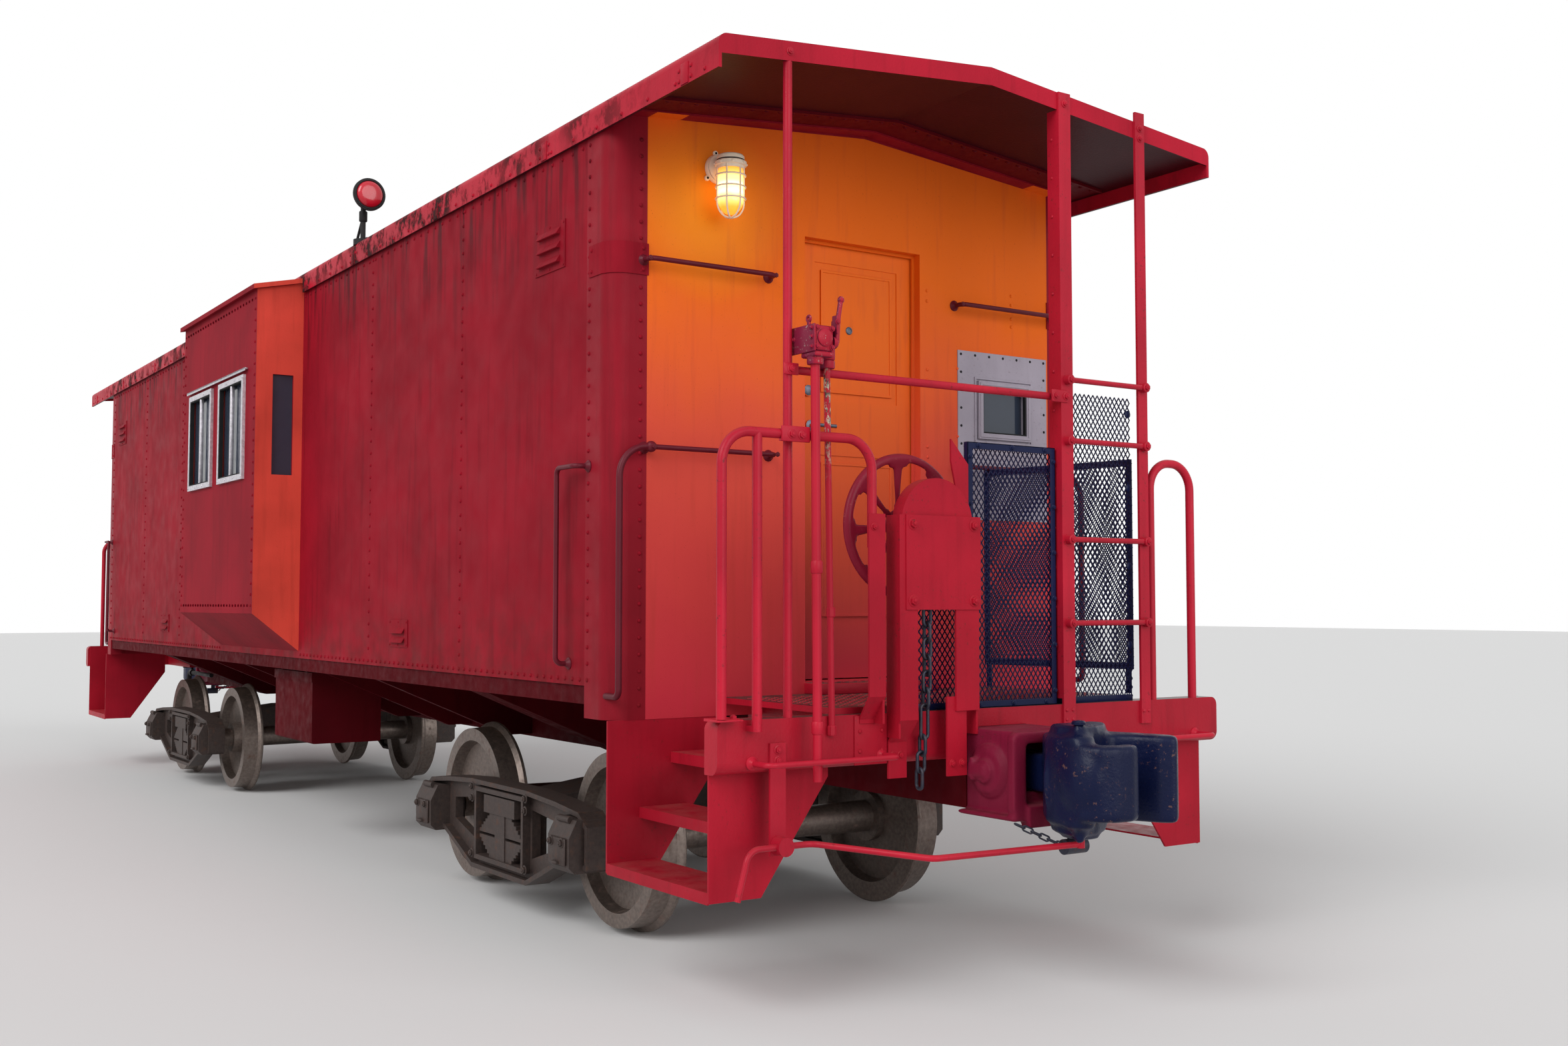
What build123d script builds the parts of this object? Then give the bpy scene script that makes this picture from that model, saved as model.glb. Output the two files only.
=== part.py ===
"""A steel bay-window caboose on two four-wheel bogies.

X runs along the car, Y across it, Z up. The origin lies below the middle of the car, at the
lowest points of the wheel flanges. End A is the one at +X. End B is end A turned half round.
Left and right are as seen by someone who stands in front of end A and looks at it, so the
left side is at -Y. All sizes are in millimetres.
"""
import math
import os

from build123d import *

os.makedirs("parts", exist_ok=True)

# Running gear
tread_diameter = 838
flange_height = 27
flange_width = 32
wheel_width = 146
wheel_back_gap = 1355       # between the inner faces of a pair of wheels
axle_diameter = 165
journal_diameter = 130
journal_spacing = 1956      # between the middles of the two journals
wheelbase = 1700
side_frame_width = 130
spring_window = 560         # opening of a side frame along the car
bolster_width = 380
centre_plate_diameter = 300
centre_plate_height = 654   # above the rail
pivot_gap = 2               # between the two centre plates
bearing_gap = 4             # round a journal

# Car body
body_length = 10320         # between the outer faces of the end walls
body_width = 2660
wall = 100                  # whole thickness of an outer wall
corner_radius = 90
corner_wrap = 217           # length of side wall that belongs to an end sheet
coupler_height = 876        # above the rail
base_above_coupler = 180    # lower edge of the end sheets above the coupler's middle
eave_rise = 2608            # top of the roof at the eave, above that lower edge
ridge_rise = 2739
roof_width = 2700
roof_thickness = 60
roof_overhang = 888         # past each end wall
eave_flange_depth = 131
eave_flange_thickness = 14
eave_radius = 40
fascia_depth = 77
fascia_thickness = 10
carline_width = 80          # ledge across the top of each end wall
carline_depth = 14
side_sheet_rise = 136       # lower edge of the side sheets
sill_rise = 57              # lower edge of the side sills
sill_inset = 10
sill_flange = 90
sill_plate = 10
floor_thickness = 40        # the floor lies level with the lower edge of the side sheets
deck_rise = 80              # top of the end platforms
deck_half_width = 790

# Bays
bay_length = 1880
bay_reach = 295             # past the side sheets
bay_wall = 45
bay_top_rise = 2500         # outer edge of the bay's roof
bay_roof_thickness = 30
bay_bottom_rise = 420
bay_skirt_rise = 180        # foot of the sloping panel under the bay
bay_eave = 30               # bay roof past its walls
bay_window_rise = 1300
bay_window_height = 640
bay_window_width = 580
bay_window_spacing = 800
bay_end_window_width = 130

# Centre sill, end sills and couplers
centre_sill_width = 330
centre_sill_depth = 326
centre_sill_plate = 16
bogie_inset = 1750          # bogie centre inside the end wall
end_sill_depth = 200
end_sill_thickness = 90
end_sill_rise = 55
end_sill_width = 2700
end_sill_corner = 35        # rounding of its upper corners
striker_reach = 332         # past the end sill's outer face
striker_width = 418
striker_rim = 42
coupler_window_width = 276
coupler_window_height = 236
shank = 150
head_half_height = 165      # of the coupler's head at its sides
head_top = 205              # of its middle, above and below the shank's middle
head_bevel = 9              # of the casting's upper and lower edges
knuckle_half_height = 140
knuckle_pin = (292, -150)   # past the striker, and across
tail_drop = 225             # foot of the lock lifter below the shank's middle
coupler_tail = 300          # shank behind the end sill's face
draft_gear_length = 500
draft_gear_height = 240
carrier_length = 80         # block that the shank rests on
bolster_length = 220        # body bolster along the car
bearer_thickness = 60
bearer_places = (-1900, -950, 0, 950, 1900)
lever_diameter = 24

# Doors and windows
door_width = 655
door_height = 2001
door_thickness = 45
door_offset = -5            # door's middle across the car
door_recess = 60            # outer face behind the end wall's
door_gap = 6
latch_gap = 8
stop_width = 14             # strip round the doorway that the leaf closes against
stop_depth = 12
hinge_radius = 8
hinge_plate = 3
hinge_length = 110
hinge_shares = (0.12, 0.5, 0.88)    # places up the leaf
panel_groove = 5
window_plate_width = 582
window_plate_height = 822
window_plate_offset = 851   # middle of the plate across the car
window_plate_rise = 890
window_plate_thickness = 5
window_frame_width = 342
window_frame_height = 284
window_frame_rise = 1286
window_frame_depth = 22
window_frame_face = 28
pane_thickness = 6

# Steps
tread_rises = (-140, -360, -580)
tread_depth = 230
tread_run = 150             # each tread stands this much further out than the one above
tread_plate = 8
tread_lip = 45
step_foot_rise = -620
step_plate = 10

# End railings and ladder
post_diameter = 36
rail_diameter = 38
post_offset = 1028
post_inset = 18             # post's middle inside the end sill's face
rail_reach = 45             # hoop's middle outside that face
hoop_outer = 1361
hoop_inner = 675
hoop_rise = 1118
hoop_bend = 120
hoop_foot_rise = 700
hoop_bar_offset = 1207
cross_rail_rise = 1373
cross_rail_diameter = 32
right_hoop_outer = 1207
right_hoop_inner = 945
ladder_post_offset = 375    # inner edge of the ladder's angle post
ladder_post_width = 70
ladder_post_leg = 62
angle_thickness = 10
stile_offset = 846
stile_width = 58
stile_thickness = 12
stile_top_rise = 2697
rung_diameter = 24
rung_rises = (400, 758, 1183, 1446)

# Mesh screen beside the ladder, and the gate across the doorway's path
screen_top_rise = 1400
gate_left = -129
gate_right = 365
gate_top_rise = 1151
gate_bar = 25
mesh_thickness = 4
mesh_pitch = 90
mesh_strand = 6

# Hand brake
stand_reach = 85            # front of the brake stand past the end sill's face
stand_left = -570
stand_right = -165
stand_leg_width = 90
right_leg_width = 120
strap_left = -325           # strap below the right leg
strap_right = -225
stand_thickness = 10
stand_foot_rise = -200
cover_left = -541
cover_right = -159
cover_bottom_rise = 459
cover_top_rise = 831
cover_thickness = 6
guard_rise = 1150           # tip of the pointed guard above the right leg
dome_radius = 182
dome_offset = -370
dome_rise = 800
brake_case_depth = 60
brake_drum_depth = 125      # cone behind the case
brake_drum_diameter = 300
brake_wheel_radius = 297
brake_wheel_rim = 28        # thickness of the rim
brake_wheel_inset = 180     # behind the end sill's face
brake_wheel_dish = 40
brake_hub_diameter = 150
brake_shaft_diameter = 40
spoke_count = 6
spoke_width = 26
side_post_offset = -710
side_post_foot_rise = 20
side_post_width = 79         # its inner leg stands clear of the hoop
chain_wire = 14
chain_link_width = 22       # inside width
chain_top_rise = 500
chain_offset = -400
chain_rows = (
    # (inside length, sideways step) of each link, from the top
    (66, 0), (66, 0), (66, 0), (66, 0), (66, 0), (66, -3), (66, -5), (120, -8), (66, -10), (66, -8),
    (66, -8),
)
hose_chain_wire = 7
hose_chain_length = 34
hose_chain_width = 12

# Grab irons
grab_diameter = 22
grab_standoff = 65
grab_bend = 30
corner_grab_diameter = 28
corner_rail_rise = 1138
corner_rail_foot = 100
corner_rail_offset = 1317
corner_rail_bend = 130
corner_ball_offset = 1169

# Brake valve and its pipes
valve_plate_width = 130
valve_left = -1000
valve_right = -815
valve_bottom_rise = 1425
valve_top_rise = 1545
valve_depth = 95
large_pipe_offset = 960
large_pipe_diameter = 36
large_pipe_foot_rise = -180
small_pipe_offset = 845
small_pipe_diameter = 26
small_pipe_foot_rise = 0

# Places worked out from the sizes above
rail_top = flange_height
axle_z = rail_top + tread_diameter / 2
coupler_z = rail_top + coupler_height
base_z = coupler_z + base_above_coupler
half_length = body_length / 2
half_width = body_width / 2
platform_x = half_length + roof_overhang
deck_z = base_z + deck_rise
sheet_z = base_z + side_sheet_rise
floor_z = sheet_z
eave_z = base_z + eave_rise
ridge_z = base_z + ridge_rise
roof_slope = (ridge_rise - eave_rise) / (roof_width / 2)
sill_top_z = base_z + end_sill_rise
centre_sill_top = coupler_z + centre_sill_depth / 2
centre_sill_bottom = coupler_z - centre_sill_depth / 2
bogie_x = half_length - bogie_inset
pivot_z = rail_top + centre_plate_height
striker_x = platform_x + striker_reach
door_bottom = floor_z + door_gap
far = 4000                  # reach of cutting shapes past anything they cut


def roof_line(offset):
    """Height of the roof's outer face above the point that is offset across the car."""
    return ridge_z - roof_slope * abs(offset)


def write(builder, name):
    """Label a finished piece and write it."""
    builder.part.label = name
    export_step(builder.part, f"parts/{name}.step")


def write_ends(builder, name):
    """Write a piece of end A, and its copy turned half round for end B."""
    write(builder, f"{name}_a")
    with BuildPart() as turned:
        add(builder.part.rotate(Axis.Z, 180))
    write(turned, f"{name}_b")


def write_both(builder, name):
    """Write a piece of end A together with its copy turned half round for end B."""
    with BuildPart() as pair:
        add(builder.part)
        add(builder.part.rotate(Axis.Z, 180))
    write(pair, name)


def block(x_from, x_to, y_from, y_to, z_from, z_to):
    """A plain block between two corners."""
    with BuildPart() as piece:
        with Locations(((x_from + x_to) / 2, (y_from + y_to) / 2, (z_from + z_to) / 2)):
            Box(abs(x_to - x_from), abs(y_to - y_from), abs(z_to - z_from))
    return piece.part


def rod(points, diameter, bend=0):
    """A round bar through the points, with its corners bent to the radius."""
    with BuildPart() as piece:
        with BuildLine() as path:
            if bend:
                FilletPolyline(*points, radius=bend)
            else:
                Polyline(*points)
        with BuildSketch(Plane(origin=path.line @ 0, z_dir=path.line % 0)):
            Circle(diameter / 2)
        sweep(path=path.line)
    return piece.part


def disc(centre, direction, diameter, length):
    """A round block that starts at a point and runs along a direction."""
    with BuildPart() as piece:
        with BuildSketch(Plane(origin=centre, z_dir=direction)):
            Circle(diameter / 2)
        extrude(amount=length)
    return piece.part


def under_roof(x_from, x_to, clearance=0):
    """All the space below the roof slab, between two places along the car."""
    drop = roof_thickness + clearance
    with BuildPart() as piece:
        with BuildSketch(Plane.YZ.offset(x_from)):
            with BuildLine():
                Polyline(
                    (-far, roof_line(far) - drop),
                    (0, ridge_z - drop),
                    (far, roof_line(far) - drop),
                    (far, -far),
                    (-far, -far),
                    close=True,
                )
            make_face()
        extrude(amount=x_to - x_from)
    return piece.part


# Roof: a low gable slab with its edges turned down over the sides and at both ends
inner_edge = roof_width / 2 - eave_flange_thickness
with BuildPart() as roof:
    with BuildSketch(Plane.YZ.offset(-platform_x)):
        with BuildLine():
            Polyline(
                (-roof_width / 2, eave_z - eave_flange_depth),
                (-roof_width / 2, eave_z),
                (0, ridge_z),
                (roof_width / 2, eave_z),
                (roof_width / 2, eave_z - eave_flange_depth),
                (roof_width / 2 - eave_flange_thickness, eave_z - eave_flange_depth),
                (inner_edge, roof_line(inner_edge) - roof_thickness),
                (0, ridge_z - roof_thickness),
                (-inner_edge, roof_line(inner_edge) - roof_thickness),
                (-roof_width / 2 + eave_flange_thickness, eave_z - eave_flange_depth),
                close=True,
            )
        make_face()
    extrude(amount=2 * platform_x)
    long_edges = roof.edges().filter_by(Axis.X)
    eaves = long_edges.filter_by(
        lambda e: abs(e.center().Z - eave_z) < 1 and abs(abs(e.center().Y) - roof_width / 2) < 1
    )
    fillet(eaves, radius=eave_radius)
    for end in (-1, 1):
        with BuildSketch(Plane.YZ.offset(end * platform_x)):
            with BuildLine():
                Polyline(
                    (-roof_width / 2, eave_z - eave_radius),
                    (-roof_width / 2, eave_z - fascia_depth),
                    (0, ridge_z - fascia_depth),
                    (roof_width / 2, eave_z - fascia_depth),
                    (roof_width / 2, eave_z - eave_radius),
                    (0, ridge_z - eave_radius),
                    close=True,
                )
            make_face()
        extrude(amount=-end * fascia_thickness)
    # The bays stand through the edge that is turned down
    for side in (-1, 1):
        add(
            block(
                -bay_length / 2 - bay_eave, bay_length / 2 + bay_eave,
                side * inner_edge, side * (roof_width / 2 + 1),
                eave_z - eave_flange_depth - 1, eave_z - roof_thickness,
            ),
            mode=Mode.SUBTRACT,
        )
write(roof, "roof")

# End walls: a flat sheet that wraps round both corners, with its doorway and window
door_left = door_offset - door_width / 2
door_right = door_offset + door_width / 2
window_middle_z = base_z + window_frame_rise + window_frame_height / 2
inner_x = half_length - wall
door_outer_x = half_length - door_recess
door_inner_x = door_outer_x - door_thickness
hinge_x = door_inner_x - hinge_radius
hinge_y = door_right + hinge_radius
with BuildPart() as end_wall:
    with BuildSketch(Plane.XY.offset(base_z)):
        with Locations((half_length - corner_wrap / 2, 0)):
            Rectangle(corner_wrap, body_width)
        with Locations((half_length - wall - corner_wrap / 2, 0)):
            Rectangle(corner_wrap, body_width - 2 * wall, mode=Mode.SUBTRACT)
    extrude(amount=ridge_rise)
    corners = end_wall.edges().filter_by(Axis.Z).filter_by(
        lambda e: abs(e.center().X - half_length) < 1 and abs(abs(e.center().Y) - half_width) < 1
    )
    fillet(corners, radius=corner_radius)
    add(under_roof(half_length - corner_wrap, half_length + 1), mode=Mode.INTERSECT)
    add(
        block(
            inner_x - 1, half_length + 1,
            door_left - latch_gap, door_right + door_gap,
            floor_z, door_bottom + door_height + door_gap,
        ),
        mode=Mode.SUBTRACT,
    )
    add(
        block(
            inner_x - 1, half_length + 1,
            window_plate_offset - window_frame_width / 2, window_plate_offset + window_frame_width / 2,
            base_z + window_frame_rise, base_z + window_frame_rise + window_frame_height,
        ),
        mode=Mode.SUBTRACT,
    )
    # Ledge under the roof, above the coloured panel
    with BuildSketch(Plane.YZ.offset(half_length - 1)):
        with BuildLine():
            top = roof_thickness
            reach = half_width - corner_radius
            Polyline(
                (-reach, roof_line(reach) - top),
                (0, ridge_z - top),
                (reach, roof_line(reach) - top),
                (reach, roof_line(reach) - top - carline_depth),
                (0, ridge_z - top - carline_depth),
                (-reach, roof_line(reach) - top - carline_depth),
                close=True,
            )
        make_face()
    extrude(amount=carline_width)
    # Stop strip round the doorway, in front of the leaf
    stop_x = half_length - door_recess + door_gap
    stop_top = door_bottom + door_height + door_gap
    for y_from, y_to in (
        (door_left - latch_gap, door_left - latch_gap + stop_width),
        (door_right + door_gap - stop_width, door_right + door_gap),
    ):
        add(block(stop_x, stop_x + stop_depth, y_from, y_to, floor_z, stop_top))
    add(block(stop_x, stop_x + stop_depth, door_left - latch_gap, door_right + door_gap,
              stop_top - stop_width, stop_top))
    # Each hinge has a knuckle on the wall above and below the leaf's own
    for share in hinge_shares:
        knuckle_z = door_bottom + share * door_height
        for low in (knuckle_z - 1.5 * hinge_length, knuckle_z + 0.5 * hinge_length + 1):
            add(disc((hinge_x, hinge_y, low), (0, 0, 1), 2 * hinge_radius, hinge_length))
            add(block(hinge_x - hinge_plate, inner_x + 1, hinge_y, hinge_y + hinge_radius,
                      low, low + hinge_length))
            add(block(inner_x - hinge_plate, inner_x + 1, hinge_y, hinge_y + 60, low, low + hinge_length))
write_ends(end_wall, "end_wall")

# Side walls between the corner sheets, each with the opening that leads into its bay
side_length = body_length - 2 * corner_wrap
bay_inner_length = bay_length - 2 * bay_wall
bay_ceiling_z = base_z + bay_top_rise - bay_roof_thickness
bay_face = half_width + bay_reach
for side, name in ((-1, "side_wall_left"), (1, "side_wall_right")):
    with BuildPart() as side_wall:
        add(block(
            -side_length / 2, side_length / 2,
            side * (half_width - wall), side * half_width,
            sheet_z, ridge_z,
        ))
        add(under_roof(-side_length / 2 - 1, side_length / 2 + 1), mode=Mode.INTERSECT)
        add(
            block(
                -bay_inner_length / 2, bay_inner_length / 2,
                side * (half_width - wall - 1), side * (half_width + 1),
                base_z + bay_bottom_rise, bay_ceiling_z,
            ),
            mode=Mode.SUBTRACT,
        )
    write(side_wall, name)

# Bays: a box on each side wall with a sloping foot, a sloping roof and its windows cut
bay_roof_inner_z = eave_z - eave_radius
for side, name in ((-1, "bay_left"), (1, "bay_right")):
    with BuildPart() as bay:
        with BuildSketch(Plane.YZ.offset(-bay_length / 2)):
            with BuildLine():
                Polyline(
                    (side * half_width, base_z + bay_skirt_rise),
                    (side * bay_face, base_z + bay_bottom_rise),
                    (side * bay_face, base_z + bay_top_rise),
                    (side * roof_width / 2, bay_roof_inner_z),
                    (side * roof_width / 2, eave_z - roof_thickness),
                    (side * half_width, eave_z - roof_thickness),
                    close=True,
                )
            make_face()
        extrude(amount=bay_length)
        with BuildSketch(Plane.YZ.offset(-bay_inner_length / 2)):
            with BuildLine():
                Polyline(
                    (side * (half_width - 1), base_z + bay_bottom_rise),
                    (side * (bay_face - bay_wall), base_z + bay_bottom_rise),
                    (side * (bay_face - bay_wall), bay_ceiling_z),
                    (side * (half_width - 1), bay_ceiling_z),
                    close=True,
                )
            make_face()
        extrude(amount=bay_inner_length, mode=Mode.SUBTRACT)
        window_z = base_z + bay_window_rise + bay_window_height / 2
        with Locations(Plane.XZ.offset(-side * bay_face)):
            with GridLocations(bay_window_spacing, 1, 2, 1):
                with Locations((0, window_z)):
                    Box(bay_window_width, bay_window_height, 3 * bay_wall, mode=Mode.SUBTRACT)
        end_window_y = side * (half_width + (bay_reach - bay_wall) / 2)
        with Locations((0, end_window_y, window_z)):
            Box(2 * bay_length, bay_end_window_width, bay_window_height, mode=Mode.SUBTRACT)
        # The roof's edge overhangs the bay's walls
        with BuildSketch(Plane.YZ.offset(-bay_length / 2 - bay_eave)):
            with BuildLine():
                Polyline(
                    (side * roof_width / 2, bay_roof_inner_z),
                    (side * (bay_face + bay_eave), base_z + bay_top_rise),
                    (side * (bay_face + bay_eave), base_z + bay_top_rise - bay_roof_thickness),
                    (side * roof_width / 2, bay_roof_inner_z - bay_roof_thickness),
                    close=True,
                )
            make_face()
        extrude(amount=bay_length + 2 * bay_eave)
    write(bay, name)

# Floor, narrower at both ends where the end sheets wrap round
with BuildPart() as floor:
    add(block(
        -side_length / 2, side_length / 2,
        -(half_width - sill_inset - sill_plate), half_width - sill_inset - sill_plate,
        floor_z - floor_thickness, floor_z,
    ))
    add(block(
        -inner_x, inner_x,
        -(half_width - wall), half_width - wall,
        floor_z - floor_thickness, floor_z,
    ))
write(floor, "floor")

# Centre sill: a hat section, open below, with its draft gear, fillers and centre plates
floor_under_z = floor_z - floor_thickness
side_sill_z = base_z + sill_rise
with BuildPart() as centre_sill:
    with BuildSketch(Plane.YZ.offset(-platform_x)):
        with Locations((0, coupler_z)):
            Rectangle(centre_sill_width, centre_sill_depth)
        with Locations((0, coupler_z - centre_sill_plate)):
            Rectangle(
                centre_sill_width - 2 * centre_sill_plate, centre_sill_depth, mode=Mode.SUBTRACT
            )
    extrude(amount=2 * platform_x)
    add(block(
        -inner_x, inner_x, -centre_sill_width / 2, centre_sill_width / 2,
        centre_sill_top - 1, floor_under_z,
    ))
    for end in (-1, 1):
        add(block(
            end * (platform_x - coupler_tail - draft_gear_length), end * (platform_x - coupler_tail),
            -centre_sill_width / 2 + 1, centre_sill_width / 2 - 1,
            coupler_z - draft_gear_height / 2, coupler_z + draft_gear_height / 2,
        ))
        add(block(
            end * bogie_x - bolster_length / 2, end * bogie_x + bolster_length / 2,
            -centre_sill_width / 2 + 1, centre_sill_width / 2 - 1, centre_sill_bottom, centre_sill_top - 1,
        ))
        add(disc(
            (end * bogie_x, 0, pivot_z + pivot_gap), (0, 0, 1), centre_plate_diameter,
            centre_sill_bottom + centre_sill_plate - pivot_z - pivot_gap,
        ))
write(centre_sill, "centre_sill")

# Side sills: an angle along each side, with its flange turned inwards
with BuildPart() as side_sills:
    for side in (-1, 1):
        outer = side * (half_width - sill_inset)
        add(block(
            -side_length / 2, side_length / 2, outer - side * sill_plate, outer, side_sill_z, sheet_z
        ))
        add(block(
            -side_length / 2, side_length / 2,
            outer - side * sill_flange, outer, side_sill_z, side_sill_z + sill_plate,
        ))
write(side_sills, "side_sills")

# Body bolsters over the bogies and cross bearers between them, a tapered half on each side
cross_reach = half_width - sill_inset - sill_plate
crosspieces = [(x, bearer_thickness) for x in bearer_places]
crosspieces += [(-bogie_x, bolster_length), (bogie_x, bolster_length)]
with BuildPart() as cross_members:
    for x, thickness in crosspieces:
        for side in (-1, 1):
            with BuildSketch(Plane.YZ.offset(x - thickness / 2)):
                with BuildLine():
                    Polyline(
                        (side * centre_sill_width / 2, floor_under_z),
                        (side * cross_reach, floor_under_z),
                        (side * cross_reach, side_sill_z + sill_plate),
                        (side * (half_width - sill_inset - sill_flange), side_sill_z + sill_plate),
                        (side * centre_sill_width, centre_sill_bottom + centre_sill_plate),
                        (side * centre_sill_width / 2, centre_sill_bottom + centre_sill_plate),
                        close=True,
                    )
                make_face()
            extrude(amount=thickness)
write(cross_members, "cross_members")

# End platform: deck, end sill and the beams that carry them from the body
beam_offset = 520
beam_width = 60
with BuildPart() as platform:
    add(block(
        half_length, platform_x - end_sill_thickness / 2, -deck_half_width, deck_half_width,
        sill_top_z, deck_z,
    ))
    add(block(
        platform_x - end_sill_thickness, platform_x, -end_sill_width / 2, end_sill_width / 2,
        sill_top_z - end_sill_depth, sill_top_z,
    ))
    lower_edges = platform.edges().filter_by(Axis.Y).group_by(Axis.Z)[0]
    fillet(lower_edges.sort_by(Axis.X)[-1], radius=end_sill_thickness / 2)
    fillet(platform.edges().filter_by(Axis.X).filter_by(
        lambda e: abs(e.center().Z - sill_top_z) < 1 and abs(abs(e.center().Y) - end_sill_width / 2) < 1
    ), radius=end_sill_corner)
    for side in (-1, 1):
        add(block(
            half_length - wall, platform_x - end_sill_thickness,
            side * beam_offset, side * (beam_offset + beam_width),
            sill_top_z - end_sill_depth, base_z,
        ))
        add(block(
            half_length, platform_x - end_sill_thickness,
            side * beam_offset, side * (beam_offset + beam_width),
            base_z, sill_top_z,
        ))
    add(
        block(
            half_length, platform_x + 1, -centre_sill_width / 2, centre_sill_width / 2,
            centre_sill_bottom, centre_sill_top,
        ),
        mode=Mode.SUBTRACT,
    )
write_ends(platform, "end_platform")

# Steps on both sides of a platform: two hanger plates with three treads between them
step_inner = deck_half_width
with BuildPart() as steps:
    hanger_inner_x = half_length - step_plate - 2
    hanger_outer_x = platform_x - end_sill_thickness - step_plate
    for side in (-1, 1):
        for x, top_rise in ((hanger_inner_x, 0), (hanger_outer_x, end_sill_rise)):
            with BuildSketch(Plane.YZ.offset(x)):
                with BuildLine():
                    Polyline(
                        (side * step_inner, base_z + top_rise),
                        (side * half_width, base_z + top_rise),
                        (side * half_width, base_z + step_foot_rise),
                        (side * (half_width - tread_depth), base_z + step_foot_rise),
                        (side * step_inner, base_z + tread_rises[0] - tread_lip),
                        close=True,
                    )
                make_face()
            extrude(amount=step_plate)
        for number, rise in enumerate(tread_rises):
            outer = half_width - tread_run * (len(tread_rises) - 1 - number)
            tread_z = base_z + rise
            add(block(
                hanger_inner_x + step_plate, hanger_outer_x,
                side * (outer - tread_depth), side * outer, tread_z - tread_plate, tread_z,
            ))
            add(block(
                hanger_inner_x + step_plate, hanger_outer_x,
                side * (outer - tread_plate), side * outer, tread_z - tread_lip, tread_z,
            ))
write_both(steps, "steps")

# Striker: a hollow casting with a wide rim, which guides the coupler's shank
boss_x = platform_x + striker_reach / 2 - 20
boss_y = centre_sill_width / 2 - 1
with BuildPart() as striker:
    with BuildSketch(Plane.YZ.offset(platform_x)):
        with Locations((0, coupler_z)):
            Rectangle(centre_sill_width, centre_sill_depth)
    extrude(amount=striker_reach)
    with BuildSketch(Plane.YZ.offset(striker_x - striker_rim)):
        with Locations((0, coupler_z)):
            Rectangle(striker_width, centre_sill_depth)
    extrude(amount=striker_rim)
    fillet(striker.edges().filter_by(Axis.X).filter_by(
        lambda e: abs(abs(e.center().Y) - striker_width / 2) < 1
    ), radius=30)
    with BuildSketch(Plane.YZ.offset(platform_x)):
        with Locations((0, coupler_z)):
            Rectangle(coupler_window_width, coupler_window_height)
    extrude(amount=striker_reach, mode=Mode.SUBTRACT)
    # Each side has a stepped round boss, with a lug and its pin in front of it
    for side in (-1, 1):
        for diameter, depth in ((210, 14), (176, 26), (96, 44)):
            add(disc((boss_x, side * boss_y, coupler_z), (0, side, 0), diameter, depth))
        add(block(boss_x - 110, boss_x + 20, side * boss_y, side * (boss_y + 56),
                  coupler_z - 22, coupler_z + 22))
        add(disc((boss_x - 60, side * (boss_y + 36), coupler_z - 40), (0, 0, 1), 34, 90))
    # Flange under the casting, and the wear plate below the rim
    with BuildSketch(Plane.XY.offset(centre_sill_bottom - 18)):
        with BuildLine():
            Polyline(
                (platform_x, -striker_width / 2), (striker_x - 12, -striker_width / 2),
                (striker_x, -striker_width / 2 + 12), (striker_x, striker_width / 2 - 12),
                (striker_x - 12, striker_width / 2), (platform_x, striker_width / 2),
                close=True,
            )
        make_face()
    extrude(amount=20)
    add(block(striker_x - striker_rim, striker_x + 12, -coupler_window_width / 2, striker_width / 2 - 20,
              centre_sill_bottom - 45, coupler_z - coupler_window_height / 2 - 8))
    add(block(
        striker_x - striker_rim - carrier_length, striker_x - striker_rim,
        -coupler_window_width / 2 - 1, coupler_window_width / 2 + 1,
        coupler_z - coupler_window_height / 2 - 1, coupler_z - shank / 2,
    ))
write_both(striker, "strikers")

# Coupler: shank, a cast head with its guard arm, and a knuckle on its pin
head_outline = (
    # (past the striker, across)
    (24, -82), (80, -128), (150, -188), (225, -210), (330, -205), (352, -160), (335, -115),
    (280, -85), (258, -20), (268, 60), (330, 112), (420, 150), (458, 196), (432, 236), (340, 232),
    (220, 198), (120, 152), (60, 108), (24, 82),
)
knuckle_outline = (
    (246, -178), (288, -206), (350, -206), (420, -176), (455, -112), (462, -36), (444, 10),
    (402, 20), (378, -12), (388, -66), (352, -104), (292, -112), (248, -132),
)
crown_outline = ((110, -128), (200, -176), (318, -160), (300, -60), (262, 20), (180, 110), (110, 96))


def raised(outline, corner, half_height):
    """A plan outline with rounded corners, raised by the same height above and below the shank's middle."""
    with BuildPart() as body:
        with BuildSketch(Plane.XY.offset(coupler_z - half_height)):
            with BuildLine():
                Polyline(*[(striker_x + x, y) for x, y in outline], close=True)
            make_face()
            fillet(vertices(), radius=corner)
        extrude(amount=2 * half_height)
        ends = faces().filter_by(Axis.Z)
        chamfer(ends[0].edges() + ends[-1].edges(), length=head_bevel)
    return body.part


with BuildPart() as coupler:
    add(block(platform_x - coupler_tail, striker_x + 40, -shank / 2, shank / 2,
              coupler_z - shank / 2, coupler_z + shank / 2))
    add(raised(head_outline, 14, head_half_height))
    add(raised(knuckle_outline, 12, knuckle_half_height))
    add(raised(crown_outline, 20, head_top))
    # Lugs above and below the knuckle, the pin through them, and the lock lifter's bracket
    pin_x = striker_x + knuckle_pin[0]
    pin_y = knuckle_pin[1]
    for way in (-1, 1):
        add(disc((pin_x, pin_y, coupler_z + way * (knuckle_half_height - 12)), (0, 0, way), 116, 44))
        add(disc((pin_x, pin_y, coupler_z + way * (knuckle_half_height + 12)), (0, 0, way), 62, 34))
    add(disc((pin_x, pin_y, coupler_z - head_top - 25), (0, 0, 1), 38, 2 * head_top + 38))
    with BuildSketch(Plane.XY.offset(coupler_z - tail_drop)):
        with Locations((striker_x + 215, -70)):
            Rectangle(120, 110)
        fillet(vertices(), radius=25)
    extrude(amount=100)
write_both(coupler, "couplers")

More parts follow.
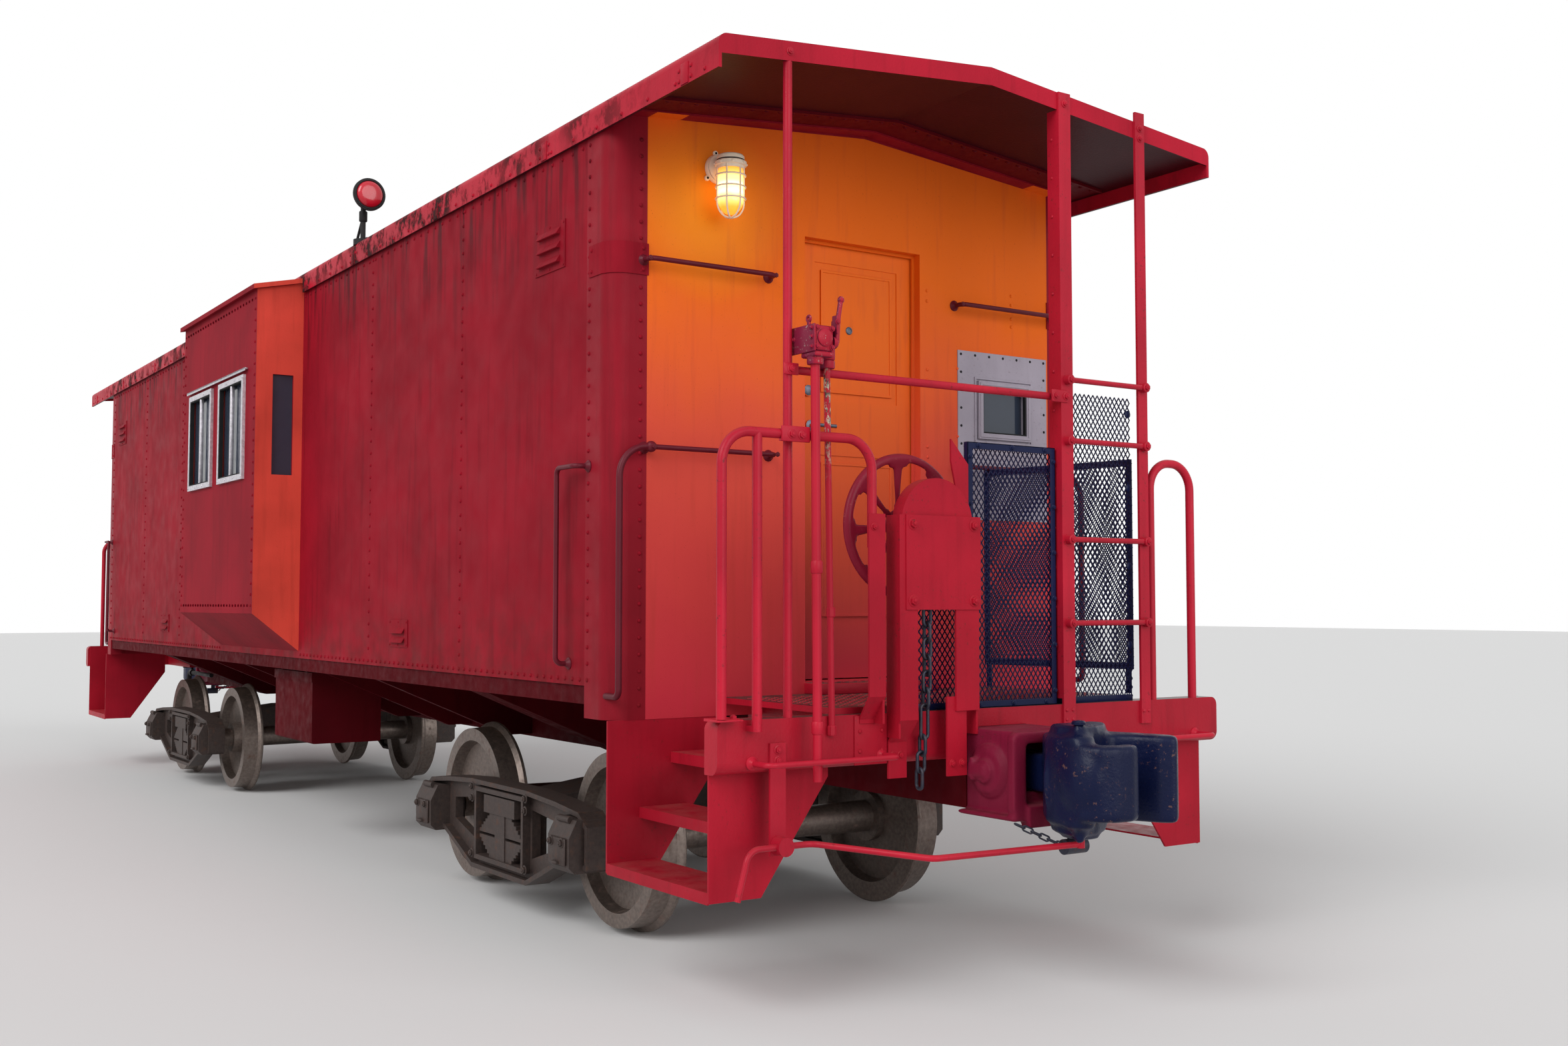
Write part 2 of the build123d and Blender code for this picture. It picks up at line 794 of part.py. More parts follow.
# Uncoupling lever: a bent bar from the side of the end sill to the lock lifter, with its hanger
lever_path = (
    # (past the end sill, across, above the shank's middle)
    (striker_reach + 215, -70, -tail_drop - 22), (striker_reach + 130, -720, -tail_drop - 30),
    (44, -960, -tail_drop - 8), (44, -1240, -tail_drop - 8), (44, -1290, -tail_drop - 190),
)
hanger_y = -1090
with BuildPart() as lever:
    add(rod([(platform_x + out, y, coupler_z + z) for out, y, z in lever_path], lever_diameter, 60))
    add(disc((platform_x + lever_path[0][0], lever_path[0][1], coupler_z + lever_path[0][2] - 14),
             (0, 0, 1), 34, 36))
    add(block(platform_x, platform_x + 10, hanger_y - 35, hanger_y + 35,
              coupler_z - tail_drop - 45, sill_top_z - end_sill_depth + 110))
    add(disc((platform_x + 9, hanger_y, coupler_z - tail_drop - 8), (1, 0, 0), 70, 58))
write_both(lever, "uncoupling_levers")

# Railing: a tall post, a hoop beside it, a cross rail to the ladder and a small hoop on the right
rail_x = platform_x + rail_reach
post_x = platform_x - post_inset
post_top_z = roof_line(post_offset) - fascia_depth
cross_z = base_z + cross_rail_rise
hoop_z = base_z + hoop_rise
foot_size = 40
with BuildPart() as railing:
    add(rod([(post_x, -post_offset, sill_top_z), (post_x, -post_offset, post_top_z)], post_diameter))
    add(rod(
        [
            (rail_x, -hoop_outer, sill_top_z + foot_size / 4), (rail_x, -hoop_outer, hoop_z),
            (rail_x, -hoop_inner, hoop_z), (rail_x, -hoop_inner, base_z + hoop_foot_rise),
        ],
        rail_diameter, hoop_bend,
    ))
    add(rod([(rail_x, -hoop_bar_offset, sill_top_z - foot_size),
             (rail_x, -hoop_bar_offset, hoop_z)], rail_diameter))
    # Feet and clamps tie the bars to the end sill and the post
    add(block(platform_x - end_sill_thickness / 2, rail_x,
              -hoop_outer - rail_diameter / 2, -hoop_outer + 2 * foot_size,
              sill_top_z, sill_top_z + foot_size / 4))
    add(block(platform_x, rail_x, -hoop_bar_offset - rail_diameter / 2,
              -hoop_bar_offset + rail_diameter / 2, sill_top_z - foot_size, sill_top_z - foot_size / 2))
    add(block(post_x, rail_x + rail_diameter / 2, -post_offset - foot_size, -post_offset + foot_size,
              hoop_z - foot_size / 2, hoop_z + foot_size / 2))
    add(rod([(post_x, -post_offset, cross_z), (post_x, ladder_post_offset, cross_z)],
            cross_rail_diameter))
    add(rod(
        [
            (post_x, right_hoop_inner, sill_top_z), (post_x, right_hoop_inner, hoop_z),
            (post_x, right_hoop_outer, hoop_z), (post_x, right_hoop_outer, sill_top_z),
        ],
        rail_diameter, hoop_bend,
    ))
    add(roof.part, mode=Mode.SUBTRACT)
write_both(railing, "railings")

# Ladder: an angle post on the left, a flat stile on the right, round rungs between them
ladder_x = platform_x
stile_top_z = base_z + stile_top_rise
with BuildPart() as ladder:
    add(block(ladder_x, ladder_x + angle_thickness,
              ladder_post_offset, ladder_post_offset + ladder_post_width,
              sill_top_z - end_sill_depth / 2, roof_line(ladder_post_offset)))
    add(block(ladder_x - ladder_post_leg, ladder_x,
              ladder_post_offset, ladder_post_offset + angle_thickness,
              deck_z, roof_line(ladder_post_offset) - fascia_depth))
    add(block(ladder_x, ladder_x + stile_thickness, stile_offset, stile_offset + stile_width,
              sill_top_z - end_sill_depth / 2, stile_top_z))
    rung_left = ladder_post_offset + ladder_post_width / 2
    rung_right = stile_offset + stile_width / 2
    rung_x = ladder_x + stile_thickness + rung_diameter / 2 - 3
    for rise in rung_rises:
        add(rod([(rung_x, rung_left, base_z + rise), (rung_x, rung_right, base_z + rise)],
                rung_diameter))
        for y in (rung_left, rung_right):
            add(disc((ladder_x + 1, y, base_z + rise), (1, 0, 0), 2 * rung_diameter - 6,
                     stile_thickness + rung_diameter))
    add(roof.part, mode=Mode.SUBTRACT)
write_both(ladder, "ladders")


def mesh(plane, width, height, framed):
    """Expanded metal: crossing slanted strands inside a rectangle, in a plane."""
    with BuildPart() as sheet:
        with BuildSketch(plane):
            rows = int((height + width) / mesh_pitch)
            with Locations(*[
                Location((0, (i - rows / 2) * mesh_pitch, 0), (0, 0, lean))
                for i in range(rows + 1) for lean in (-55, 55)
            ]):
                Rectangle(2 * (width + height), mesh_strand)
            Rectangle(width, height, mode=Mode.INTERSECT)
        extrude(amount=mesh_thickness)
        if framed:
            with BuildSketch(plane):
                Rectangle(width, height)
                Rectangle(width - 2 * gate_bar, height - 2 * gate_bar, mode=Mode.SUBTRACT)
            extrude(amount=gate_bar)
    return sheet.part


# Screens: expanded metal behind the ladder, and a framed gate beside the brake stand
gate_x = platform_x - end_sill_thickness / 2
screen_left = ladder_post_offset + ladder_post_width
with BuildPart() as screen:
    for left, right, top_rise, framed in (
        (gate_left, gate_right, gate_top_rise, True),
        (screen_left, stile_offset, screen_top_rise, False),
    ):
        top_z = base_z + top_rise
        middle = Plane(
            origin=(gate_x, (left + right) / 2, (sill_top_z + top_z) / 2),
            x_dir=(0, 1, 0), z_dir=(1, 0, 0),
        )
        add(mesh(middle, right - left, top_z - sill_top_z, framed))
write_both(screen, "screens")

# Hand brake stand: two legs, a gear case with a domed top and a cone behind it, a cover
stand_x = platform_x + stand_reach
dome_z = base_z + dome_rise
cover_bottom_z = base_z + cover_bottom_rise
cover_top_z = base_z + cover_top_rise
side_post_x = rail_x + rail_diameter / 2


def stepped_leg(y_from, y_to, front_x, thickness, top_z, bend_rise, foot_rise):
    """A flat leg that steps back to the end sill's face below its bend."""
    foot_x = platform_x + thickness
    with BuildPart() as leg:
        with BuildSketch(Plane.XZ.offset(-y_from)):
            with BuildLine():
                Polyline(
                    (front_x, top_z), (front_x, base_z + bend_rise),
                    (foot_x, base_z + bend_rise - 90), (foot_x, base_z + foot_rise),
                    (platform_x, base_z + foot_rise), (platform_x, base_z + bend_rise - 90),
                    (front_x - thickness, base_z + bend_rise), (front_x - thickness, top_z),
                    close=True,
                )
            make_face()
        extrude(amount=-(y_to - y_from))
    return leg.part


with BuildPart() as brake_stand:
    add(stepped_leg(stand_left, stand_left + stand_leg_width, stand_x, stand_thickness, cover_top_z,
                    30, stand_foot_rise))
    # The right leg is straight, with a strap that runs on downwards behind it
    add(block(stand_x - stand_thickness, stand_x, stand_right - right_leg_width, stand_right,
              base_z + sill_rise, cover_top_z))
    add(block(stand_x - 2 * stand_thickness, stand_x - stand_thickness, strap_left, strap_right,
              base_z + stand_foot_rise, base_z + 2 * sill_rise))
    for y in (stand_left, stand_right - stand_thickness):
        add(block(platform_x, stand_x - stand_thickness, y, y + stand_thickness,
                  base_z - 40, cover_top_z))
    with BuildSketch(Plane.YZ.offset(stand_x - stand_thickness - brake_case_depth)):
        with Locations((dome_offset, dome_z)):
            Circle(dome_radius)
    extrude(amount=brake_case_depth)
    with Locations(Location(
        (stand_x - stand_thickness - brake_case_depth + 1, dome_offset, dome_z), (0, -90, 0)
    )):
        Cone(brake_drum_diameter / 2, brake_hub_diameter / 2, brake_drum_depth,
             align=(Align.CENTER, Align.CENTER, Align.MIN))
    with BuildSketch(Plane.YZ.offset(stand_x)):
        with Locations(((cover_left + cover_right) / 2, (cover_bottom_z + cover_top_z) / 2)):
            Rectangle(cover_right - cover_left, cover_top_z - cover_bottom_z)
    extrude(amount=cover_thickness)
    # Pointed guard above the right leg
    with BuildSketch(Plane.YZ.offset(stand_x - brake_case_depth)):
        with BuildLine():
            Polyline(
                (stand_right - 90, base_z + guard_rise), (stand_right - 90, base_z + guard_rise - 90),
                (stand_right - 45, cover_top_z + 30), (stand_right - 45, cover_top_z - 20),
                (stand_right, cover_top_z - 20), (stand_right, base_z + guard_rise - 100),
                close=True,
            )
        make_face()
    extrude(amount=-stand_thickness)
    # Angle post beside the stand, whose wide face the hoop's inner leg is bolted behind
    side_post_right = side_post_offset + side_post_width
    add(stepped_leg(side_post_offset, side_post_right, side_post_x + stand_thickness, stand_thickness,
                    cover_top_z, 125, side_post_foot_rise))
    add(block(platform_x, side_post_x + 1, side_post_right - stand_thickness, side_post_right,
              base_z + side_post_foot_rise, cover_top_z))
write_both(brake_stand, "brake_stands")

# Brake wheel: a round rim, a dished hub and curved spokes, on its shaft
wheel_x = platform_x - brake_wheel_inset
with BuildPart() as brake_wheel:
    with BuildSketch(Plane.XZ.offset(-dome_offset)):
        with Locations((wheel_x, dome_z + brake_wheel_radius - brake_wheel_rim / 2)):
            Circle(brake_wheel_rim / 2)
    revolve(axis=Axis((wheel_x, dome_offset, dome_z), (1, 0, 0)))
    add(disc((wheel_x, dome_offset, dome_z), (1, 0, 0), brake_hub_diameter, brake_wheel_dish))
    for number in range(spoke_count):
        angle = math.radians(360 / spoke_count * number)
        spoke = [
            (wheel_x + brake_wheel_dish / 2 * (1 - share),
             dome_offset + reach * math.sin(angle + sweep_angle),
             dome_z + reach * math.cos(angle + sweep_angle))
            for share, reach, sweep_angle in (
                (0, brake_hub_diameter / 2 - 10, 0),
                (0.5, brake_wheel_radius * 0.6, 0.12),
                (1, brake_wheel_radius - brake_wheel_rim / 2, 0),
            )
        ]
        add(rod(spoke, spoke_width, 60))
    add(disc((wheel_x, dome_offset, dome_z), (1, 0, 0), brake_shaft_diameter,
             stand_x - stand_thickness - brake_case_depth - brake_drum_depth + 1 - wheel_x))
write_both(brake_wheel, "brake_wheels")

def chain_link(plane, length, width, wire):
    """One link, of an inside length and width: a round bar bent to a closed loop in a plane."""
    radius = (width + wire) / 2
    with BuildSketch(plane) as outline:
        SlotCenterToCenter(length + wire - 2 * radius, 2 * radius)
    loop = outline.sketch.faces()[0].outer_wire()
    with BuildPart() as link:
        with BuildSketch(Plane(origin=loop @ 0, z_dir=loop % 0)):
            Circle(wire / 2)
        sweep(path=loop)
    return link.part


# Brake chain: links of two lengths from the gear case down to the lever below the end sill
with BuildPart() as chain:
    chain_x = platform_x + stand_reach / 2
    link_z = base_z + chain_top_rise + chain_rows[0][0] / 2
    link_y = chain_offset
    for number, (length, step) in enumerate(chain_rows):
        link_y += step
        facing = (1, 0, 0) if number % 2 else (0, 1, 0)
        centre = (chain_x, link_y, link_z - length / 2)
        add(chain_link(Plane(origin=centre, x_dir=(0, 0, 1), z_dir=facing),
                       length, chain_link_width, chain_wire))
        link_z -= length - 1
write_both(chain, "brake_chains")

# Train pipe: its end beside the striker, with the cock and its handle
train_pipe_y = 300
train_pipe_z = coupler_z - 60
with BuildPart() as train_pipe:
    add(disc((platform_x - 700, train_pipe_y, train_pipe_z), (1, 0, 0), 42, 790))
    add(disc((platform_x + 60, train_pipe_y, train_pipe_z), (1, 0, 0), 66, 70))
    add(disc((platform_x + 95, train_pipe_y, train_pipe_z), (0, 0, 1), 28, 60))
    add(block(platform_x + 83, platform_x + 107, train_pipe_y - 12, train_pipe_y + 90,
              train_pipe_z + 52, train_pipe_z + 62))
    add(rod([(platform_x + 128, train_pipe_y, train_pipe_z), (platform_x + 190, train_pipe_y, train_pipe_z),
             (platform_x + 230, train_pipe_y, train_pipe_z - 90)], 50, 40))
write_both(train_pipe, "train_pipes")

# Hose chain: from the striker's lower corner to the bracket that hangs below the coupler
with BuildPart() as hose_chain:
    bracket_x = platform_x + 452
    bracket_z = coupler_z - head_half_height - 110
    run_start = Vector(striker_x - 18, -striker_width / 2 + 24, centre_sill_bottom - 27)
    run = Vector(bracket_x - 20, -40, bracket_z) - run_start
    count = round(run.length / (hose_chain_length - 1))
    for number in range(count):
        across = Vector(0, 0, 1) if number % 2 else Vector(1, 0, 0)
        add(chain_link(
            Plane(
                origin=run_start + run * ((number + 0.5) / count), x_dir=run, z_dir=run.cross(across),
            ),
            run.length / count + 1, hose_chain_width, hose_chain_wire,
        ))
    add(disc((bracket_x - 20, -46, bracket_z), (0, 1, 0), 60, 110))
    add(block(bracket_x - 26, bracket_x - 14, -20, 20, bracket_z, coupler_z - head_half_height))
write_both(hose_chain, "hose_chains")

# Brake valve on the tall post: body, cover plate, handle, and two pipes that run down
valve_bottom_z = base_z + valve_bottom_rise
valve_top_z = base_z + valve_top_rise
large_pipe_x = rail_x + rail_diameter / 2 + large_pipe_diameter / 2
with BuildPart() as valve:
    add(block(post_x + post_diameter / 2, post_x + post_diameter / 2 + stand_thickness,
              valve_left, valve_left + valve_plate_width, valve_bottom_z, valve_top_z))
    add(block(post_x + post_diameter / 2 + stand_thickness, post_x + post_diameter / 2 + valve_depth,
              valve_left + 40, valve_right, valve_bottom_z, valve_top_z))
    fillet(valve.edges().filter_by(Axis.Z).sort_by(Axis.Y)[-2:], radius=25)
    add(rod([(large_pipe_x, -large_pipe_offset, valve_bottom_z + 5),
             (large_pipe_x, -large_pipe_offset, base_z + large_pipe_foot_rise)], large_pipe_diameter))
    add(disc((large_pipe_x, -large_pipe_offset, valve_bottom_z - 25), (0, 0, 1), 54, 30))
    small_pipe_x = platform_x + small_pipe_diameter / 2
    add(rod([(small_pipe_x, -small_pipe_offset, valve_bottom_z + 5),
             (small_pipe_x, -small_pipe_offset, base_z + small_pipe_foot_rise)], small_pipe_diameter))
    add(disc((small_pipe_x, -small_pipe_offset, valve_bottom_z - 25), (0, 0, 1), 44, 30))
    handle_x = post_x + post_diameter / 2 + valve_depth / 2
    add(rod([(handle_x, valve_right - 5, valve_bottom_z + 40),
             (handle_x, valve_right + 15, valve_bottom_z + 45),
             (handle_x, valve_right + 45, valve_top_z + 110)], 20))
write_both(valve, "brake_valves")

# Lamp on the end wall: round base, elbow, collar, glass globe inside a wire guard
lamp_offset = -805
lamp_rise = 2398
lamp_out = 110
globe_radius = 52
globe_length = 190
guard_wire = 7
with BuildPart() as lamp:
    lamp_x = half_length + lamp_out
    lamp_z = base_z + lamp_rise
    add(disc((half_length, lamp_offset, lamp_z), (1, 0, 0), 120, 30))
    add(disc((half_length + 30, lamp_offset, lamp_z), (1, 0, 0), 60, lamp_out - 30))
    add(disc((lamp_x, lamp_offset, lamp_z - 30), (0, 0, 1), 2 * globe_radius + 34, 75))
    guard_radius = globe_radius + 12
    guard_low_z = lamp_z - globe_length + guard_radius
    for angle in range(0, 360, 90):
        bar_x = lamp_x + guard_radius * math.cos(math.radians(angle))
        bar_y = lamp_offset + guard_radius * math.sin(math.radians(angle))
        add(block(bar_x - guard_wire / 2, bar_x + guard_wire / 2, bar_y - guard_wire / 2,
                  bar_y + guard_wire / 2, guard_low_z - guard_radius, lamp_z - 20))
    for number in range(3):
        ring_z = lamp_z - 60 - number * (lamp_z - 60 - guard_low_z) / 2
        with Locations((lamp_x, lamp_offset, ring_z)):
            Cylinder(guard_radius + guard_wire / 2, guard_wire)
            Cylinder(guard_radius - guard_wire / 2, guard_wire, mode=Mode.SUBTRACT)
    for across in ((1, 0), (0, 1)):
        with Locations((lamp_x, lamp_offset, guard_low_z - guard_radius)):
            Box(2 * guard_radius * across[0] + guard_wire, 2 * guard_radius * across[1] + guard_wire,
                guard_wire)
write_both(lamp, "end_lamps")

with BuildPart() as globe:
    with BuildSketch(Plane.XZ.offset(-lamp_offset)):
        with BuildLine():
            Polyline((lamp_x, lamp_z - 30), (lamp_x + globe_radius, lamp_z - 30),
                     (lamp_x + globe_radius, guard_low_z))
            ThreePointArc(
                (lamp_x + globe_radius, guard_low_z),
                (lamp_x + globe_radius * math.sqrt(0.5), guard_low_z - globe_radius * math.sqrt(0.5)),
                (lamp_x, guard_low_z - globe_radius),
            )
            Line((lamp_x, guard_low_z - globe_radius), (lamp_x, lamp_z - 30))
        make_face()
    revolve(axis=Axis((lamp_x, lamp_offset, 0), (0, 0, 1)))
write_both(globe, "lamp_globes")

# End windows: a cover plate with a small framed window
with BuildPart() as end_window:
    plate_z = base_z + window_plate_rise + window_plate_height / 2
    with BuildSketch(Plane.YZ.offset(half_length)):
        with Locations((window_plate_offset, plate_z)):
            Rectangle(window_plate_width, window_plate_height)
        with Locations((window_plate_offset, window_middle_z)):
            Rectangle(window_frame_width - 2 * window_frame_face,
                      window_frame_height - 2 * window_frame_face, mode=Mode.SUBTRACT)
    extrude(amount=window_plate_thickness)
    with BuildSketch(Plane.YZ.offset(half_length)):
        with Locations((window_plate_offset, window_middle_z)):
            Rectangle(window_frame_width, window_frame_height)
            Rectangle(window_frame_width - 2 * window_frame_face,
                      window_frame_height - 2 * window_frame_face, mode=Mode.SUBTRACT)
    extrude(amount=window_frame_depth)
    with BuildSketch(Plane.YZ.offset(half_length)):
        with Locations((window_plate_offset, window_middle_z)):
            Rectangle(window_frame_width, window_frame_height)
            Rectangle(window_frame_width - 2 * window_frame_face,
                      window_frame_height - 2 * window_frame_face, mode=Mode.SUBTRACT)
    extrude(amount=-wall / 2)
write_both(end_window, "end_window_frames")

# Bay window frames and all panes of glass
frame_face = 35
frame_depth = 20
with BuildPart() as bay_frames:
    for side in (-1, 1):
        for place in (-1, 1):
            centre = (place * bay_window_spacing / 2, side * (bay_face + frame_depth / 2),
                      base_z + bay_window_rise + bay_window_height / 2)
            with Locations(centre):
                Box(bay_window_width + frame_face, frame_depth, bay_window_height + frame_face)
            with Locations(centre):
                Box(bay_window_width - frame_face, 2 * frame_depth, bay_window_height - frame_face,
                    mode=Mode.SUBTRACT)
write(bay_frames, "bay_window_frames")

with BuildPart() as panes:
    bay_window_z = base_z + bay_window_rise + bay_window_height / 2
    for side in (-1, 1):
        for place in (-1, 1):
            pane_y = side * (bay_face - bay_wall / 2)
            with Locations((place * bay_window_spacing / 2, pane_y, bay_window_z)):
                Box(bay_window_width, pane_thickness, bay_window_height)
            with Locations((place * (bay_length - bay_wall) / 2,
                            side * (half_width + (bay_reach - bay_wall) / 2), bay_window_z)):
                Box(pane_thickness, bay_end_window_width, bay_window_height)
    for end in (-1, 1):
        with Locations((end * (half_length - wall / 4), end * window_plate_offset, window_middle_z)):
            Box(pane_thickness, window_frame_width - 2 * window_frame_face,
                window_frame_height - 2 * window_frame_face)
write(panes, "window_panes")

# Doors: a leaf with two framed panels, its knuckles, lever and lock
panel_width = 477
panel_inset = 35
lever_rise = 1295
lock_rise = 1456
with BuildPart() as door:
    add(block(door_inner_x, door_outer_x, door_left, door_right, door_bottom, door_bottom + door_height))
    for low_rise, high_rise in ((390, 1165), (1422, 2056)):
        with BuildSketch(Plane.YZ.offset(door_outer_x)):
            with Locations((door_offset, base_z + (low_rise + high_rise) / 2)):
                Rectangle(panel_width, high_rise - low_rise)
                Rectangle(panel_width - 2 * panel_inset, high_rise - low_rise - 2 * panel_inset,
                          mode=Mode.SUBTRACT)
        extrude(amount=-panel_groove, mode=Mode.SUBTRACT)
    for share in hinge_shares:
        knuckle_z = door_bottom + share * door_height
        low = knuckle_z - hinge_length / 2
        add(disc((hinge_x, hinge_y, low), (0, 0, 1), 2 * hinge_radius, hinge_length))
        add(block(hinge_x - hinge_plate / 2, door_inner_x + 1, hinge_y - hinge_radius, hinge_y - 1,
                  low, low + hinge_length))
        add(block(door_inner_x - hinge_plate, door_inner_x + 1, door_right - 60, hinge_y - 1,
                  low, low + hinge_length))
    lever_y = door_left + 60
    add(disc((door_outer_x - 1, lever_y, base_z + lever_rise), (1, 0, 0), 54, 9))
    add(rod([(door_outer_x, lever_y, base_z + lever_rise),
             (door_outer_x + 42, lever_y, base_z + lever_rise),
             (door_outer_x + 42, lever_y + 120, base_z + lever_rise)], 18, 14))
    add(disc((door_outer_x - 1, door_left + 45, base_z + lock_rise), (1, 0, 0), 54, 12))
write_ends(door, "door")

# Grab irons: across the end walls, round the corners, on the end sills and on the sides
end_grabs = (
    # (inner end, outer end, rise), across the car; the low ones run on into the corner rails
    (-541, -1176, 1935),
    (541, 1176, 1925),
)
sill_grab_standoff = 118
with BuildPart() as grabs:
    out_x = half_length + grab_standoff
    for inner, outer, rise in end_grabs:
        z = base_z + rise
        add(rod([(half_length, inner, z), (out_x, inner, z), (out_x, outer, z), (half_length, outer, z)],
                grab_diameter, grab_bend))
    for side in (-1, 1):
        # Corner rail: out from a ball on its stud, round the corner and down to the corner sheet
        z = base_z + corner_rail_rise
        ball_y = side * corner_ball_offset
        rail_y = side * corner_rail_offset
        foot_z = base_z + corner_rail_foot
        add(rod([(half_length, side * 541, z), (out_x, side * 541, z), (out_x, ball_y, z)],
                grab_diameter, grab_bend))
        add(disc((half_length, ball_y, z), (1, 0, 0), grab_diameter, grab_standoff))
        with Locations((out_x, ball_y, z)):
            Sphere(corner_grab_diameter * 0.85)
        add(rod([(out_x, ball_y, z), (out_x, rail_y, z), (out_x, rail_y, foot_z + 100)],
                corner_grab_diameter, corner_rail_bend))
        add(rod([(out_x, rail_y, foot_z + 100), (out_x, rail_y, foot_z),
                 (half_length - corner_radius / 2, rail_y, foot_z)], corner_grab_diameter, grab_bend))
        # End sill
        grab_x = platform_x + sill_grab_standoff
        z = base_z - 105
        add(rod([(platform_x, side * 600, z), (grab_x, side * 600, z),
                 (grab_x, side * 1200, z), (platform_x, side * 1200, z)], grab_diameter, grab_bend))
        # Side, from its high foot near the corner down to its low foot
        y = side * (half_width + grab_standoff)
        wall_y = side * half_width
        near_x = half_length - 188
        far_x = half_length - 363
        high_z = base_z + 1066
        low_z = base_z + 225
        add(rod([(near_x, wall_y, high_z), (near_x, y, high_z), (far_x, y, high_z),
                 (far_x, y, low_z), (far_x, wall_y, low_z)], grab_diameter, grab_bend))
    add(end_wall.part, mode=Mode.SUBTRACT)
write_both(grabs, "grab_irons")

# Louvre vents on the side sheets
with BuildPart() as vents:
    for end in (-1, 1):
        for side in (-1, 1):
            for x_near, length, low, high, blades in ((424, 303, 1966, 2180, 3), (2292, 275, 248, 395, 0)):
                x_middle = end * (half_length - x_near - length / 2)
                y = side * half_width
                add(block(x_middle - length / 2, x_middle + length / 2, y, y + side * 5,
                          base_z + low, base_z + high))
                for blade in range(blades):
                    z = base_z + low + (blade + 0.7) * (high - low) / 3.4
                    with BuildSketch(Plane.YZ.offset(x_middle - length * 0.35)):
                        with BuildLine():
                            Polyline((y, z + 26), (y + side * 24, z - 10), (y + side * 24, z - 14),
                                     (y, z - 14), close=True)
                        make_face()
                    extrude(amount=length * 0.7)
write(vents, "side_vents")

# Roof: marker lamps near the bays, and the stove's stack with its cap
marker_x = 2060
marker_y = -1300
marker_rise = 2878
marker_diameter = 190
with BuildPart() as markers:
    foot_z = roof_line(marker_y) - 20
    lamp_centre_z = base_z + marker_rise
    stem_x = marker_x - 90
    add(rod([(stem_x, marker_y, foot_z), (stem_x, marker_y, lamp_centre_z)], 30))
    add(disc((stem_x, marker_y, foot_z), (0, 0, 1), 110, 34))
    # The lamp faces the end of the car: a tapered case, its rim, and a lens that stands out of it
    radius = marker_diameter / 2
    with BuildSketch(Plane.XZ.offset(-marker_y)):
        with BuildLine():
            Polyline(
                (stem_x - 20, lamp_centre_z), (stem_x - 20, lamp_centre_z + radius - 50),
                (marker_x, lamp_centre_z + radius - 12), (marker_x, lamp_centre_z + radius),
                (marker_x + 20, lamp_centre_z + radius), (marker_x + 20, lamp_centre_z + radius - 22),
                (marker_x + 34, lamp_centre_z + radius - 44), (marker_x + 42, lamp_centre_z),
                close=True,
            )
        make_face()
    revolve(axis=Axis((0, marker_y, lamp_centre_z), (1, 0, 0)))
    add(rod([(stem_x - 150, marker_y, foot_z - 2), (stem_x, marker_y, lamp_centre_z - 110)], 16))
    add(roof.part, mode=Mode.SUBTRACT)
write_both(markers, "marker_lamps")

stack_x = -2600
stack_offset = 700
stack_height = 380
with BuildPart() as stack:
    foot_z = roof_line(stack_offset) - 40
    with Locations((stack_x, stack_offset, foot_z)):
        Cylinder(80, stack_height, align=(Align.CENTER, Align.CENTER, Align.MIN))
        Cylinder(74, stack_height, align=(Align.CENTER, Align.CENTER, Align.MIN), mode=Mode.SUBTRACT)
    for angle in range(0, 360, 90):
        strut_x = stack_x + 77 * math.cos(math.radians(angle))
        strut_y = stack_offset + 77 * math.sin(math.radians(angle))
        add(block(strut_x - 5, strut_x + 5, strut_y - 5, strut_y + 5,
                  foot_z + stack_height - 30, foot_z + stack_height + 60))
    with Locations((stack_x, stack_offset, foot_z + stack_height + 60)):
        Cone(150, 20, 60, align=(Align.CENTER, Align.CENTER, Align.MIN))
    add(roof.part, mode=Mode.SUBTRACT)
write(stack, "smoke_stack")

# Brake gear and tool box under the floor, each between two cross bearers
gear_offset = 560
gear_z = coupler_z + 30
tank_diameter = 300
tank_x = 1045
tank_length = 760
cylinder_diameter = 280
cylinder_x = -1830
cylinder_length = 420
rod_length = 260
hanger_thickness = 40
tool_box_x = 60
tool_box_length = 810
with BuildPart() as air_tank:
    add(disc((tank_x, gear_offset, gear_z), (1, 0, 0), tank_diameter, tank_length))
    fillet(air_tank.edges().filter_by(GeomType.CIRCLE), radius=50)
    for x in (tank_x + 150, tank_x + tank_length - 150):
        add(block(x - hanger_thickness / 2, x + hanger_thickness / 2,
                  gear_offset - tank_diameter / 2 + 10, gear_offset + tank_diameter / 2 - 10,
                  gear_z, floor_under_z))
write(air_tank, "air_tank")
with BuildPart() as brake_cylinder:
    add(disc((cylinder_x, gear_offset, gear_z), (1, 0, 0), cylinder_diameter, cylinder_length))
    for x in (cylinder_x, cylinder_x + cylinder_length - 24):
        add(disc((x, gear_offset, gear_z), (1, 0, 0), cylinder_diameter + 50, 24))
    add(disc((cylinder_x + cylinder_length - 1, gear_offset, gear_z), (1, 0, 0), 60, rod_length))
    for x in (cylinder_x + 50, cylinder_x + cylinder_length - 70):
        add(block(x - hanger_thickness / 2, x + hanger_thickness / 2,
                  gear_offset - tank_diameter / 2 + 10, gear_offset + tank_diameter / 2 - 10,
                  gear_z, floor_under_z))
write(brake_cylinder, "brake_cylinder")
with BuildPart() as tool_box:
    box_top_z = side_sill_z - 20
    add(block(tool_box_x, tool_box_x + tool_box_length, -1215, -760, base_z - 420, box_top_z))
    fillet(tool_box.edges().filter_by(Axis.X), radius=15)
    add(block(tool_box_x - 8, tool_box_x + tool_box_length + 8, -1223, -750, box_top_z - 60, box_top_z))
    for x in (tool_box_x + 120, tool_box_x + tool_box_length - 160):
        add(block(x, x + hanger_thickness, -1215, -760, box_top_z - 1, floor_under_z))
write(tool_box, "tool_box")

